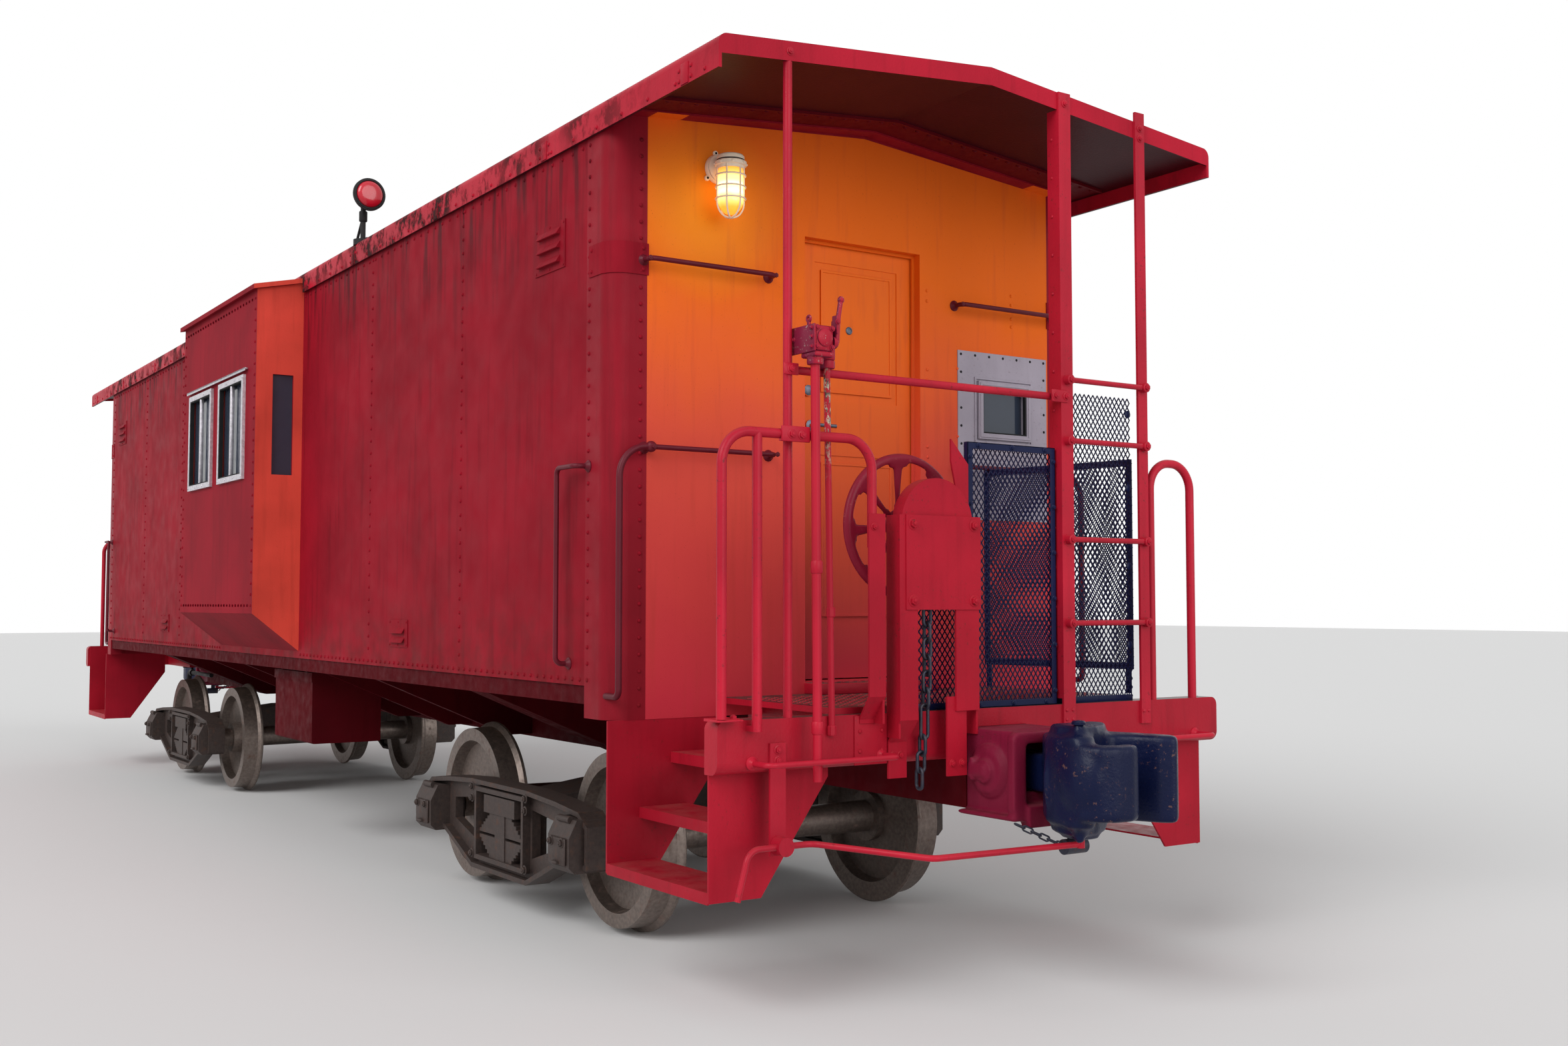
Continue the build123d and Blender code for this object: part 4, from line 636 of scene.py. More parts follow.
def weathered(tree, colour, streaks, speckle):
    """Paint that varies: broad patches, vertical streaks, small dark specks."""
    patches = ramp(tree, noise(tree, 0.5, 3), 0.35, 0.68)
    varied = mix(tree, patches, shade(colour, 0.84), shade(colour, 1.12))
    varied = mix(tree, runs(tree, 0.05, 0.08, 0.52, 0.75, streaks), varied, shade(colour, 0.45))
    specks = ramp(tree, noise(tree, 0.008, 2), 0.70, 0.78, 0, speckle)
    return mix(tree, specks, varied, shade(colour, 0.25))


def dusted(tree, colour, amount):
    """Dust that lies on whatever faces up."""
    lying = ramp(tree, facing_of(tree, 2), 0.5, 0.95, 0, amount)
    patchy = times(tree, lying, ramp(tree, noise(tree, 0.12, 5), 0.3, 0.7))
    return mix(tree, patchy, colour, (0.28, 0.22, 0.17, 1))


def raised(tree, shader, height, strength, distance):
    """Bumps in the surface that follow a height."""
    bump = add_node(tree, "ShaderNodeBump", Strength=strength, Distance=distance, Height=height)
    feed(tree, shader, Normal=bump.outputs["Normal"])


def relief(tree, shader, size, strength, distance=0.002):
    """Fine bumps in the paint, about as large as this in metres."""
    raised(tree, shader, noise(tree, size, 4), strength, distance)


def paint_finish(name, colour, roughness, streaks, speckle=0.25, dust=0.2, bumps=0.25,
                 chipped=0.0, below=PRIMER, specular=0.15):
    """Weathered paint on steel, chipped down to what lies below."""
    tree, shader = new_material(name, specular)
    varied = dusted(tree, weathered(tree, colour, streaks, speckle), dust)
    uneven = ramp(tree, noise(tree, 0.06, 4), 0.3, 0.7, roughness * 0.8, roughness * 1.3)
    if chipped:
        gone = chips(tree, 0.16, 0.018, chipped)
        varied = mix(tree, gone, varied, below)
        uneven = sums(tree, "MAXIMUM", uneven, times(tree, gone, 0.75))
    feed(tree, shader, Base_Color=varied, Roughness=uneven)
    relief(tree, shader, 0.01, bumps)


def side_finish(paint, sizes):
    """Deep red side sheets: sun-faded patches, runs of dirt, and grime from the eave down."""
    tree, shader = new_material("side_paint", 0.06)
    colour = weathered(tree, paint.side_red, 0.5, 0.4)
    faded = runs(tree, 0.8, 0.35, 0.52, 0.74, 0.30)
    colour = mix(tree, faded, colour, shade(paint.side_red, 1.5))
    z = axis_of(tree, 2)
    eave = sizes.base_z + sizes.eave_rise
    under_eave = times(tree, ramp(tree, z, eave - 0.75, eave - 0.15),
                       runs(tree, 0.06, 0.10, 0.48, 0.62, 0.7))
    colour = mix(tree, under_eave, colour, (0.014, 0.006, 0.008, 1))
    foot = ramp(tree, z, sizes.base_z + 0.6, sizes.base_z + 0.05, 0, 0.55)
    splashes = times(tree, foot, ramp(tree, noise(tree, 0.1, 6), 0.4, 0.65))
    colour = mix(tree, splashes, colour, (0.07, 0.016, 0.014, 1))
    uneven = ramp(tree, noise(tree, 0.15, 5), 0.3, 0.7, 0.52, 0.68)
    feed(tree, shader, Base_Color=colour, Roughness=uneven)
    # Sheets are not quite flat between their rivets
    waves = noise(tree, 0.45, 2)
    fine = noise(tree, 0.012, 3)
    height = sums(tree, "ADD", times(tree, waves, 3.0), times(tree, fine, 0.12))
    raised(tree, shader, height, 0.3, 0.006)


def end_finish(paint, sizes):
    """End wall: orange panel that goes over to red at its foot, inside deep red corners."""
    tree, shader = new_material("end_paint", 0.10)
    z = axis_of(tree, 2)
    across = sums(tree, "ABSOLUTE", axis_of(tree, 1))
    along = sums(tree, "ABSOLUTE", axis_of(tree, 0))
    uneven_z = sums(tree, "ADD", z, ramp(tree, noise(tree, 0.6, 3), 0.2, 0.8, -0.16, 0.16))
    low = ramp(tree, uneven_z, sizes.base_z + 0.05, sizes.base_z + 1.0)
    high = ramp(tree, uneven_z, sizes.base_z + 1.1, sizes.base_z + 1.95)
    panel = mix(tree, low, paint.end_red, paint.end_coral)
    panel = mix(tree, high, panel, paint.end_orange)
    # Painted glow of the lamp, a pool of light only on its own side of the wall
    lamp_place = (sizes.end_x, 0.860, sizes.base_z + 2.20)
    places = tree.nodes.new("ShaderNodeTexCoord")
    middle = add_node(tree, "ShaderNodeVectorMath", {"operation": "ABSOLUTE"},
                      _0=places.outputs["Object"]).outputs[0]
    away = add_node(tree, "ShaderNodeVectorMath", {"operation": "DISTANCE"}, _0=middle,
                    _1=lamp_place).outputs["Value"]
    lamp_side = ramp(tree, times(tree, axis_of(tree, 0), axis_of(tree, 1)), -0.5, -0.4, 1, 0)
    painted_lamp_glow = times(tree, ramp(tree, away, 0.08, 0.42, 0.75, 0), lamp_side)
    panel = mix(tree, painted_lamp_glow, panel, (0.90, 0.30, 0.012, 1))
    # Painted shade under the roof, faint runs, specks
    painted_roof_shade = ramp(tree, uneven_z, sizes.base_z + 2.3, sizes.base_z + 2.75, 0, 0.12)
    panel = mix(tree, painted_roof_shade, panel, shade(paint.end_coral, 0.55))
    panel = mix(tree, runs(tree, 0.05, 0.07, 0.55, 0.8, 0.3), panel, shade(paint.end_coral, 0.6))
    specks = ramp(tree, noise(tree, 0.007, 2), 0.69, 0.76, 0, 0.55)
    panel = mix(tree, specks, panel, (0.25, 0.02, 0.01, 1))
    # The panel is on the outer face, up to a line parallel to the roof, and in the door's jambs
    panel_half, panel_rise, roof_slope = 1.155, 2.654, -0.086
    jamb_half, jamb_rise = 0.36, 2.2
    top = sums(tree, "ADD", times(tree, across, roof_slope), sizes.base_z + panel_rise)
    inside = times(tree, sums(tree, "LESS_THAN", across, panel_half),
                   sums(tree, "LESS_THAN", z, top))
    on_face = sums(tree, "GREATER_THAN", along, sizes.end_x - 0.002)
    jamb = times(tree, sums(tree, "LESS_THAN", across, jamb_half),
                 sums(tree, "LESS_THAN", z, sizes.base_z + jamb_rise))
    mask = sums(tree, "MAXIMUM", times(tree, inside, on_face), jamb)
    corner = weathered(tree, paint.side_red, 0.4, 0.3)
    uneven = ramp(tree, noise(tree, 0.1, 4), 0.3, 0.7, 0.42, 0.58)
    feed(tree, shader, Base_Color=mix(tree, mask, corner, panel), Roughness=uneven)
    relief(tree, shader, 0.004, 0.3, 0.0015)


def door_finish(paint, sizes):
    """End doors: orange all over, redder at the foot."""
    tree, shader = new_material("door_paint")
    low = ramp(tree, axis_of(tree, 2), sizes.base_z + 0.2, sizes.base_z + 1.7)
    colour = mix(tree, low, shade(paint.end_red, 0.85), paint.end_orange)
    dirt = runs(tree, 0.04, 0.1, 0.55, 0.8, 0.3)
    colour = mix(tree, dirt, colour, shade(paint.end_coral, 0.55))
    feed(tree, shader, Base_Color=colour, Roughness=0.42)
    relief(tree, shader, 0.006, 0.25, 0.0015)


def bay_finish(paint):
    """Bays: the sides' red, with orange-red ends."""
    tree, shader = new_material("bay_paint", 0.05)
    ends = ramp(tree, sums(tree, "ABSOLUTE", facing_of(tree, 0)), 0.7, 0.95)
    red = weathered(tree, paint.side_red, 0.4, 0.4)
    orange = weathered(tree, paint.end_coral, 0.3, 0.4)
    feed(tree, shader, Base_Color=mix(tree, ends, red, orange), Roughness=0.62)
    relief(tree, shader, 0.012, 0.3)


def pipe_finish(paint, sizes):
    """Pipes of the brake valve: red. The thin one, nearer the middle, is worn below its top."""
    tree, shader = new_material("pipe_paint")
    colour = weathered(tree, paint.railing_red, 0.2, 0.3)
    z = axis_of(tree, 2)
    worn = times(tree, ramp(tree, z, sizes.base_z + 0.95, sizes.base_z + 1.15),
                 ramp(tree, z, sizes.base_z + 1.40, sizes.base_z + 1.36))
    between_pipes = 0.92
    across = sums(tree, "ABSOLUTE", axis_of(tree, 1))
    worn = times(tree, worn, sums(tree, "LESS_THAN", across, between_pipes))
    flakes = ramp(tree, noise(tree, 0.012, 5, (1, 1, 0.5), 0.7), 0.50, 0.54)
    patches = ramp(tree, noise(tree, 0.02, 3), 0.4, 0.6)
    dull = mix(tree, patches, (0.05, 0.035, 0.03, 1), (0.50, 0.45, 0.33, 1))
    colour = mix(tree, times(tree, worn, flakes), colour, dull)
    feed(tree, shader, Base_Color=colour, Roughness=0.42)
    relief(tree, shader, 0.008, 0.3)


def valve_finish(paint):
    """Brake valves: plates in purple as painted shade, red on faces that look along the car,
    chipped.
    """
    tree, shader = new_material("valve_paint")
    # Faces that look along the car get red; the purple elsewhere is painted shade
    along = ramp(tree, sums(tree, "ABSOLUTE", facing_of(tree, 0)), 0.5, 0.9, 0, 0.8)
    purple = weathered(tree, paint.valve_purple_shade, 0.2, 0.3)
    red = weathered(tree, paint.railing_red, 0.2, 0.3)
    colour = mix(tree, chips(tree, 0.10, 0.012, 0.8), mix(tree, along, purple, red),
                 (0.42, 0.38, 0.34, 1))
    feed(tree, shader, Base_Color=colour, Roughness=0.36)
    relief(tree, shader, 0.01, 0.3)


def grab_iron_finish(paint, sizes):
    """Grab irons: maroon on the walls, red at the end sills."""
    tree, shader = new_material("grab_iron_paint")
    high = ramp(tree, axis_of(tree, 2), sizes.base_z - 0.02, sizes.base_z + 0.02)
    maroon = weathered(tree, shade(paint.soffit_maroon, 2.2), 0.2, 0.3)
    red = weathered(tree, paint.railing_red, 0.2, 0.3)
    feed(tree, shader, Base_Color=mix(tree, high, red, maroon), Roughness=0.36)
    relief(tree, shader, 0.008, 0.3)


def roof_finish(paint):
    """Roof: crimson edges with black lichen and runs, maroon underside as painted shade, dull top.
    """
    tree, shader = new_material("roof_paint", 0.08)
    edge = weathered(tree, paint.railing_red, 0.3, 0.3)
    sideways = ramp(tree, sums(tree, "ABSOLUTE", facing_of(tree, 1)), 0.25, 0.6)
    lichen = ramp(tree, noise(tree, 0.10, 8, (1, 1, 0.7), 0.7), 0.47, 0.56, 0, 0.94)
    patchy = ramp(tree, noise(tree, 0.7, 3), 0.36, 0.52)
    near_end = ramp(tree, sums(tree, "ABSOLUTE", axis_of(tree, 0)), 4.9, 5.5, 1, 0.15)
    patchy = times(tree, patchy, near_end)
    black = times(tree, times(tree, lichen, patchy), sideways)
    colour = mix(tree, black, edge, (0.014, 0.013, 0.012, 1))
    up = facing_of(tree, 2)
    stained = ramp(tree, noise(tree, 0.4, 6), 0.4, 0.65)
    worn = mix(tree, stained, (0.20, 0.020, 0.024, 1), (0.10, 0.045, 0.040, 1))
    colour = mix(tree, ramp(tree, up, 0.7, 0.95), colour, worn)
    # The underside's dark maroon is painted shade
    underside = weathered(tree, paint.soffit_maroon, 0.2, 0.2)
    colour = mix(tree, ramp(tree, up, -0.7, -0.95), colour, underside)
    feed(tree, shader, Base_Color=colour, Roughness=ramp(tree, black, 0, 1, 0.42, 0.85))
    relief(tree, shader, 0.01, 0.35)


def metal_finish(name, colour, roughness, rust, metallic):
    """Bare or thinly painted metal with some rust."""
    tree, shader = new_material(name, 0.5)
    patches = ramp(tree, noise(tree, 0.05, 6, roughness=0.65), 0.55, 0.72, 0, rust)
    fine = ramp(tree, noise(tree, 0.02, 4), 0.3, 0.7)
    varied = mix(tree, fine, shade(colour, 0.75), shade(colour, 1.2))
    feed(tree, shader, Base_Color=mix(tree, patches, varied, (0.10, 0.035, 0.015, 1)),
         Roughness=ramp(tree, patches, 0, 1, roughness, 0.8),
         Metallic=ramp(tree, patches, 0, 0.5, metallic, 0.1))
    relief(tree, shader, 0.006, 0.3)


def glass_finish(name, colour, roughness):
    """Window or lens glass, with faint dirt."""
    tree, shader = new_material(name, 0.6)
    dirt = ramp(tree, noise(tree, 0.08, 5), 0.35, 0.75, 0, 0.35)
    feed(tree, shader, Base_Color=mix(tree, dirt, colour, shade(colour, 0.6)),
         Roughness=ramp(tree, dirt, 0, 0.4, roughness, roughness + 0.25))


def lit_glass_finish(paint, lamp_top):
    """Amber glass with the light inside it, brightest half way down."""
    tree, shader = new_material("lamp_glass", 0.5)
    z = axis_of(tree, 2)
    off = sums(tree, "ABSOLUTE", sums(tree, "SUBTRACT", z, lamp_top - 0.150))
    core = ramp(tree, off, 0.015, 0.085, 1, 0)
    ribs = add_node(tree, "ShaderNodeTexWave", {"bands_direction": "Z"}, Vector=place_of(tree),
                    Scale=9.0, Distortion=0.4)
    banded = times(tree, core, ramp(tree, ribs.outputs["Fac"], 0, 1, 0.8, 1))
    colour = mix(tree, banded, paint.lamp_amber, (1.0, 0.80, 0.36, 1))
    feed(tree, shader, Base_Color=colour, Emission_Color=colour, Roughness=0.12,
         Emission_Strength=ramp(tree, banded, 0, 1, 0.8, 2.6))


def deck_finish(paint):
    """Platform: black gloss on top, red sill faces, dust on what faces up."""
    tree, shader = new_material("platform_paint")
    red = dusted(tree, weathered(tree, paint.stand_red, 0.35, 0.35), 0.25)
    black = dusted(tree, weathered(tree, (0.035, 0.010, 0.016, 1), 0.2, 0.2), 0.3)
    top = ramp(tree, facing_of(tree, 2), 0.9, 0.95)
    feed(tree, shader, Base_Color=mix(tree, top, red, black), Roughness=0.36)
    relief(tree, shader, 0.012, 0.4)


class CABOOSE_OT_finishes(bpy.types.Operator):
    """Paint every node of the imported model"""
    bl_idname = "caboose.finishes"
    bl_label = "Finishes"

    def execute(self, context):
        paint = context.scene.caboose_paint
        sizes = context.scene.caboose_body
        for finish in (side_finish, end_finish, door_finish, pipe_finish, grab_iron_finish):
            finish(paint, sizes)
        for finish in (bay_finish, roof_finish, deck_finish, valve_finish):
            finish(paint)
        lit_glass_finish(paint, sizes.base_z + LAMP_RISE)
        # Name, colour, roughness, streaks, speckle, dust, bumps, chipped, below, specular
        for values in (
            ("railing_paint", paint.railing_red, 0.34, 0.25, 0.4, 0.12, 0.3, 0.55),
            ("stand_paint", paint.stand_red, 0.42, 0.25, 0.35, 0.15, 0.3, 0.45, PRIMER, 0.10),
            ("striker_paint", paint.striker_red, 0.48, 0.3, 0.4, 0.12, 0.5, 0.5, PRIMER, 0.10),
            ("purple_paint", paint.valve_purple_shade, 0.33, 0.2, 0.3, 0.15, 0.3, 0.7,
             (0.42, 0.38, 0.34, 1)),
            ("wheel_paint", (0.22, 0.008, 0.026, 1), 0.34, 0.2, 0.3, 0.1, 0.3, 0.5,
             (0.40, 0.12, 0.10, 1)),
            ("coupler_paint", paint.black_and_painted_sky, 0.30, 0.15, 0.2, 0.03, 0.6, 0.6,
             (0.16, 0.08, 0.06, 1)),
            ("mesh_paint", shade(paint.black_and_painted_sky, 1.3), 0.3, 0.1, 0.2, 0.1),
            ("frame_paint", shade(paint.side_red, 0.30), 0.65, 0.4, 0.4, 0.2, 0.25, 0,
             PRIMER, 0.06),
            # Under the canopy: the sides' red, darkened as painted shade
            ("soffit_paint", shade(paint.side_red, 0.45), 0.5, 0.2, 0.3, 0.2, 0.25, 0,
             PRIMER, 0.08),
            ("under_black", (0.022, 0.020, 0.021, 1), 0.55, 0.3, 0.4, 0.35, 0.4, 0.4),
            ("floor_boards", (0.12, 0.07, 0.04, 1), 0.7, 0.4),
            ("lamp_paint", paint.lamp_ivory, 0.38, 0.15, 0.25, 0.1, 0.2, 0.25,
             (0.30, 0.18, 0.12, 1)),
            ("window_plate", (0.37, 0.33, 0.39, 1), 0.42, 0.15, 0.6, 0.1, 0.3, 0.6,
             (0.20, 0.15, 0.17, 1)),
            ("rubber", (0.012, 0.012, 0.013, 1), 0.7, 0.1, 0.1, 0.2),
        ):
            paint_finish(*values)
        # Name, colour, roughness, rust, metallic
        for values in (
            ("window_metal", (0.55, 0.52, 0.56, 1), 0.35, 0.1, 0.8),
            ("bright_steel", (0.13, 0.14, 0.18, 1), 0.5, 0.35, 0.7),
            ("chain_metal", (0.022, 0.024, 0.040, 1), 0.42, 0.35, 0.4),
            ("bogie_metal", (0.045, 0.030, 0.026, 1), 0.6, 0.6, 0.3),
            ("wheel_metal", (0.20, 0.16, 0.14, 1), 0.45, 0.7, 0.8),
        ):
            metal_finish(*values)
        glass_finish("window_glass", (0.030, 0.040, 0.062, 1), 0.05)
        glass_finish("lens_glass", paint.lens_red, 0.1)
        finishes = {node: name for name, nodes in NODES.items() for node in nodes.split()}
        missing = sorted(set(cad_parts) ^ set(finishes))
        if missing:
            raise RuntimeError(f"finishes and nodes differ: {missing}")
        for node, name in finishes.items():
            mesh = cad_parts[node].data
            mesh.materials.clear()
            mesh.materials.append(finish_of(name))
        return {"FINISHED"}


class CABOOSE_OT_body_rivets(bpy.types.Operator):
    """Rivet rows on the side sheets, the corners, the bays and the end walls"""
    bl_idname = "caboose.body_rivets"
    bl_label = "Body rivets"

    def execute(self, context):
        sizes = context.scene.caboose_body
        at = place_from(sizes.end_x, sizes.base_z)
        low, high = sizes.base_z + 0.16, sizes.base_z + 2.45
        bay_low, bay_high = sizes.base_z + 0.47, sizes.base_z + 2.42
        rivets = []
        for side in (-1, 1):
            facing = (0, side, 0)
            y = side * sizes.side_y
            for seam in (0.192, 1.588, 2.914):
                x = sizes.end_x - seam
                rivets.append(rivet_row((x, y, low), (x, y, high), facing, sizes))
            x = sizes.end_x - 0.26
            for z, pitch in ((low, None), (high, 0.10)):
                rivets.append(rivet_row((x, y, z), (0.98, y, z), facing, sizes, pitch))
            corner_y = side * 1.186
            rivets.append(rivet_row(at(0, corner_y, 0.06), at(0, corner_y, 2.45), OUT, sizes))
            y = side * sizes.bay_y
            rivets.append(rivet_row((0.905, y, bay_low), (0.905, y, bay_high), facing, sizes))
            for z in (bay_low, bay_high):
                rivets.append(rivet_row((-0.83, y, z), (0.83, y, z), facing, sizes))
        finish_both(rivets, "body_rivets", "side_paint")
        # Pairs beside the door, then single ones above the window's plate and at its edge
        columns = (
            (0.372, (0.42, 0.47, 0.80, 0.85, 1.18, 1.23, 1.55, 1.60, 1.93, 1.98)),
            (0.912, (1.858, 1.898, 1.968, 2.014)),
            (0.560, (0.96, 1.29, 1.62)),
        )
        spots = [(at(0, y, rise), OUT) for y, rises in columns for rise in rises]
        finish_both([stamped(dome(0.0085, 0.006), spots)], "end_wall_rivets", "end_paint")
        return {"FINISHED"}


class CABOOSE_OT_roof_fittings(bpy.types.Operator):
    """Straps and rivets across the roof and under the canopies, bolts on the fascia"""
    bl_idname = "caboose.roof_fittings"
    bl_label = "Roof fittings"

    def over_roof(self, sizes, x, lift):
        """Points from eave to eave, this far above the roof's outer face."""
        return [(x, y, roof_rise(sizes, y) + lift) for y in (-1.30, 0, 1.30)]

    def execute(self, context):
        sizes = context.scene.caboose_body
        eave = sizes.base_z + sizes.eave_rise
        low, high = eave - 0.128, eave - 0.045
        pieces = []
        spots = []
        for x in (0.65, 1.95, 3.25, 4.55, 5.80):
            columns = (x - 0.045, x + 0.045)
            pieces.append(strap(self.over_roof(sizes, x, 0.001), 0.060, 0.007, OUT))
            for side in (-1, 1):
                y = side * (sizes.roof_half + 0.001)
                pieces.append(slab((x - 0.028, y - 0.003, low), (x + 0.028, y + 0.003, high)))
                edge = side * sizes.roof_half
                spots += [((column, edge, low + share * (high - low)), (0, side, 0))
                          for column in columns for share in (0.25, 0.75)]
                for number in range(13):
                    y = side * (0.06 + number * 0.1)
                    spots += [((column, y, roof_rise(sizes, y)), UP) for column in columns]
        pieces.append(stamped(dome(sizes.rivet_radius, sizes.rivet_radius * 0.7), spots))
        front = sizes.platform_x
        for side in (-1, 1):
            y, z = side * sizes.roof_half, low + 0.02
            pieces.append(rivet_row((0.2, y, z), (front - 0.1, y, z), (0, side, 0), sizes, 0.217))
        finish_both(pieces, "roof_seams", "roof_paint")
        # Joint across the underside of the canopy
        sheet_x = sizes.end_x + 0.1225
        joint_x = sizes.end_x + 0.245
        under = -0.063
        spots = []
        for number in range(37):
            y = (number - 18) * sizes.rivet_pitch
            spots.append(((joint_x - 0.026, y, roof_rise(sizes, y) - 0.066), -UP))
        finish_both([
            strap(self.over_roof(sizes, sheet_x, under), 0.245, 0.006, OUT),
            strap(self.over_roof(sizes, joint_x, under), 0.016, 0.020, OUT),
            stamped(dome(0.011, 0.009), spots),
        ], "canopy_joint", "soffit_paint")
        # Bolts that hold the post, the ladder and the stile to the fascia
        spots = [((front + out, y, roof_rise(sizes, y) - drop), OUT) for out, y, drop in (
            (0, -1.028, 0.040), (0.011, 0.410, 0.045), (0.013, 0.875, 0.030),
            (0.013, 0.875, 0.075))]
        finish_both([stamped(bolt(0.022, 0.010), spots)], "fascia_bolts", "railing_paint")
        return {"FINISHED"}


class CABOOSE_OT_corner_bands(bpy.types.Operator):
    """Bracket bands that wrap the corners near the top of the end walls"""
    bl_idname = "caboose.corner_bands"
    bl_label = "Corner bands"

    def execute(self, context):
        sizes = context.scene.caboose_body
        end, side_y = sizes.end_x, sizes.side_y
        middle = sizes.base_z + 1.940
        pieces = []
        spots = []
        for side in (-1, 1):
            centre = (end - 0.090, side * (side_y - 0.090), middle)
            bend = [on_circle(centre, 0.092, side * 90 * step / 8) for step in range(9)]
            points = [(end + 0.002, side * 1.150, middle), *bend,
                      (end - 0.190, side * (side_y + 0.002), middle)]
            pieces.append(strap(points, 0.135, 0.006, UP))
            for z in (middle - 0.045, middle + 0.045):
                spots.append(((end + 0.005, side * 1.176, z), OUT))
                spots.append(((end - 0.165, side * (side_y + 0.005), z), (0, side, 0)))
        pieces.append(stamped(dome(0.009, 0.006), spots))
        finish_both(pieces, "corner_bands", "side_paint")
        return {"FINISHED"}


class CABOOSE_OT_grab_feet(bpy.types.Operator):
    """Flattened feet and nuts of the grab irons"""
    bl_idname = "caboose.grab_feet"
    bl_label = "Grab iron feet"

    def execute(self, context):
        sizes = context.scene.caboose_body
        on_wall = place_from(sizes.end_x, sizes.base_z)
        on_sill = place_from(sizes.platform_x, sizes.base_z)
        feet = []
        nuts = []
        for side, rise in ((-1, 1.935), (1, 1.925)):
            for y in (side * 0.541, side * 1.176):
                feet.append((on_wall(0, y, rise), OUT))
                nuts.append((on_wall(0.060, y, rise), OUT))
        for side in (-1, 1):
            for y, out in ((side * 0.541, 0.072), (side * 1.169, 0.087)):
                feet.append((on_wall(0, y, 1.138), OUT))
                nuts.append((on_wall(out, y, 1.138), OUT))
            feet += [(on_sill(0, side * across, -0.105), OUT) for across in (0.600, 1.200)]
            feet += [(on_wall(-inset, side * sizes.side_y, rise), (0, side, 0))
                     for inset, rise in ((0.188, 1.066), (0.363, 0.225))]
        foot = turned([(0.026, -0.001), (0.026, 0.004), (0.020, 0.008), (0.0125, 0.020)], 16)
        pieces = [stamped(foot, feet), stamped(bolt(0.020, 0.009, False), nuts)]
        finish_both(pieces, "grab_iron_feet", "grab_iron_paint")
        return {"FINISHED"}


class CABOOSE_OT_railing_fittings(bpy.types.Operator):
    """Clamps, bolts and rivets of the railings and the ladder"""
    bl_idname = "caboose.railing_fittings"
    bl_label = "Railing fittings"

    def execute(self, context):
        sizes = context.scene.caboose_body
        at = place_from(sizes.platform_x, sizes.base_z)
        # Clamp of the hoop railing, plate and clamps of the top rail, foot of the hoop
        pieces = [
            slab(at(0.060, -1.112, 1.088), at(0.071, -0.984, 1.147), 0.003),
            slab(at(-0.004, 0.368, 1.352), at(0.003, 0.442, 1.394), 0.003),
            slab(at(0.006, 0.318, 1.346), at(0.016, 0.412, 1.400), 0.004),
            slab(at(0.001, -1.062, 1.350), at(0.009, -0.994, 1.396), 0.003),
            slab(at(0.004, -1.385, 0.055), at(0.062, -1.275, 0.063), 0.003),
        ]
        bolts = [
            (at(0.071, -1.068, 1.116), OUT), (at(0.071, -1.022, 1.114), OUT),
            (at(0.009, -1.028, 1.373), OUT), (at(0.016, 0.338, 1.373), OUT),
            (at(0.016, 0.400, 1.373), OUT), (at(0.030, -1.300, 0.064), UP),
            (at(0.010, -1.090, -0.060), OUT), (at(0.010, -1.090, -0.100), OUT),
        ]
        bolts += [(at(0.036, y, rise), OUT)
                  for rise in (0.400, 0.758, 1.183, 1.446) for y in (0.410, 0.875)]
        rivets = [(at(-0.035, 0.375, 0.30 + number * 2.20 / 13), (0, -1, 0))
                  for number in range(14)]
        rivets += [(at(0.010, y, rise), OUT) for y in (0.392, 0.428) for rise in (-0.010, 0.030)]
        rivets += [(at(0.012, y, 0.010), OUT) for y in (0.860, 0.890)]
        pieces.append(stamped(bolt(0.024, 0.011), bolts))
        pieces.append(stamped(dome(0.008, 0.006), rivets))
        finish_both(pieces, "railing_fittings", "railing_paint")
        return {"FINISHED"}


class CABOOSE_OT_brake_fittings(bpy.types.Operator):
    """Bolts of the brake stand and of its parts, and the plate below the side post"""
    bl_idname = "caboose.brake_fittings"
    bl_label = "Brake fittings"

    def execute(self, context):
        sizes = context.scene.caboose_body
        at = place_from(sizes.platform_x, sizes.base_z)
        large = [(at(0.091, y, rise), OUT) for y in (-0.506, -0.194) for rise in (0.494, 0.796)]
        small = [(at(0.074, -0.685, 0.780), OUT)]
        small += [(at(0.010, y, -0.110), OUT) for y in (-0.548, -0.510)]
        small += [(at(0.075, y, -0.150), OUT) for y in (-0.300, -0.250)]
        rivets = [(at(0.006, y, rise), OUT) for y in (-0.707, -0.600) for rise in (-0.010, -0.087)]
        pieces = [
            stamped(bolt(0.032, 0.013), large), stamped(bolt(0.022, 0.010), small),
            slab(at(-0.001, -0.732, -0.140), at(0.006, -0.575, 0.050), 0.002),
            stamped(dome(0.009, 0.007), rivets),
        ]
        finish_both(pieces, "brake_stand_fittings", "stand_paint")
        return {"FINISHED"}


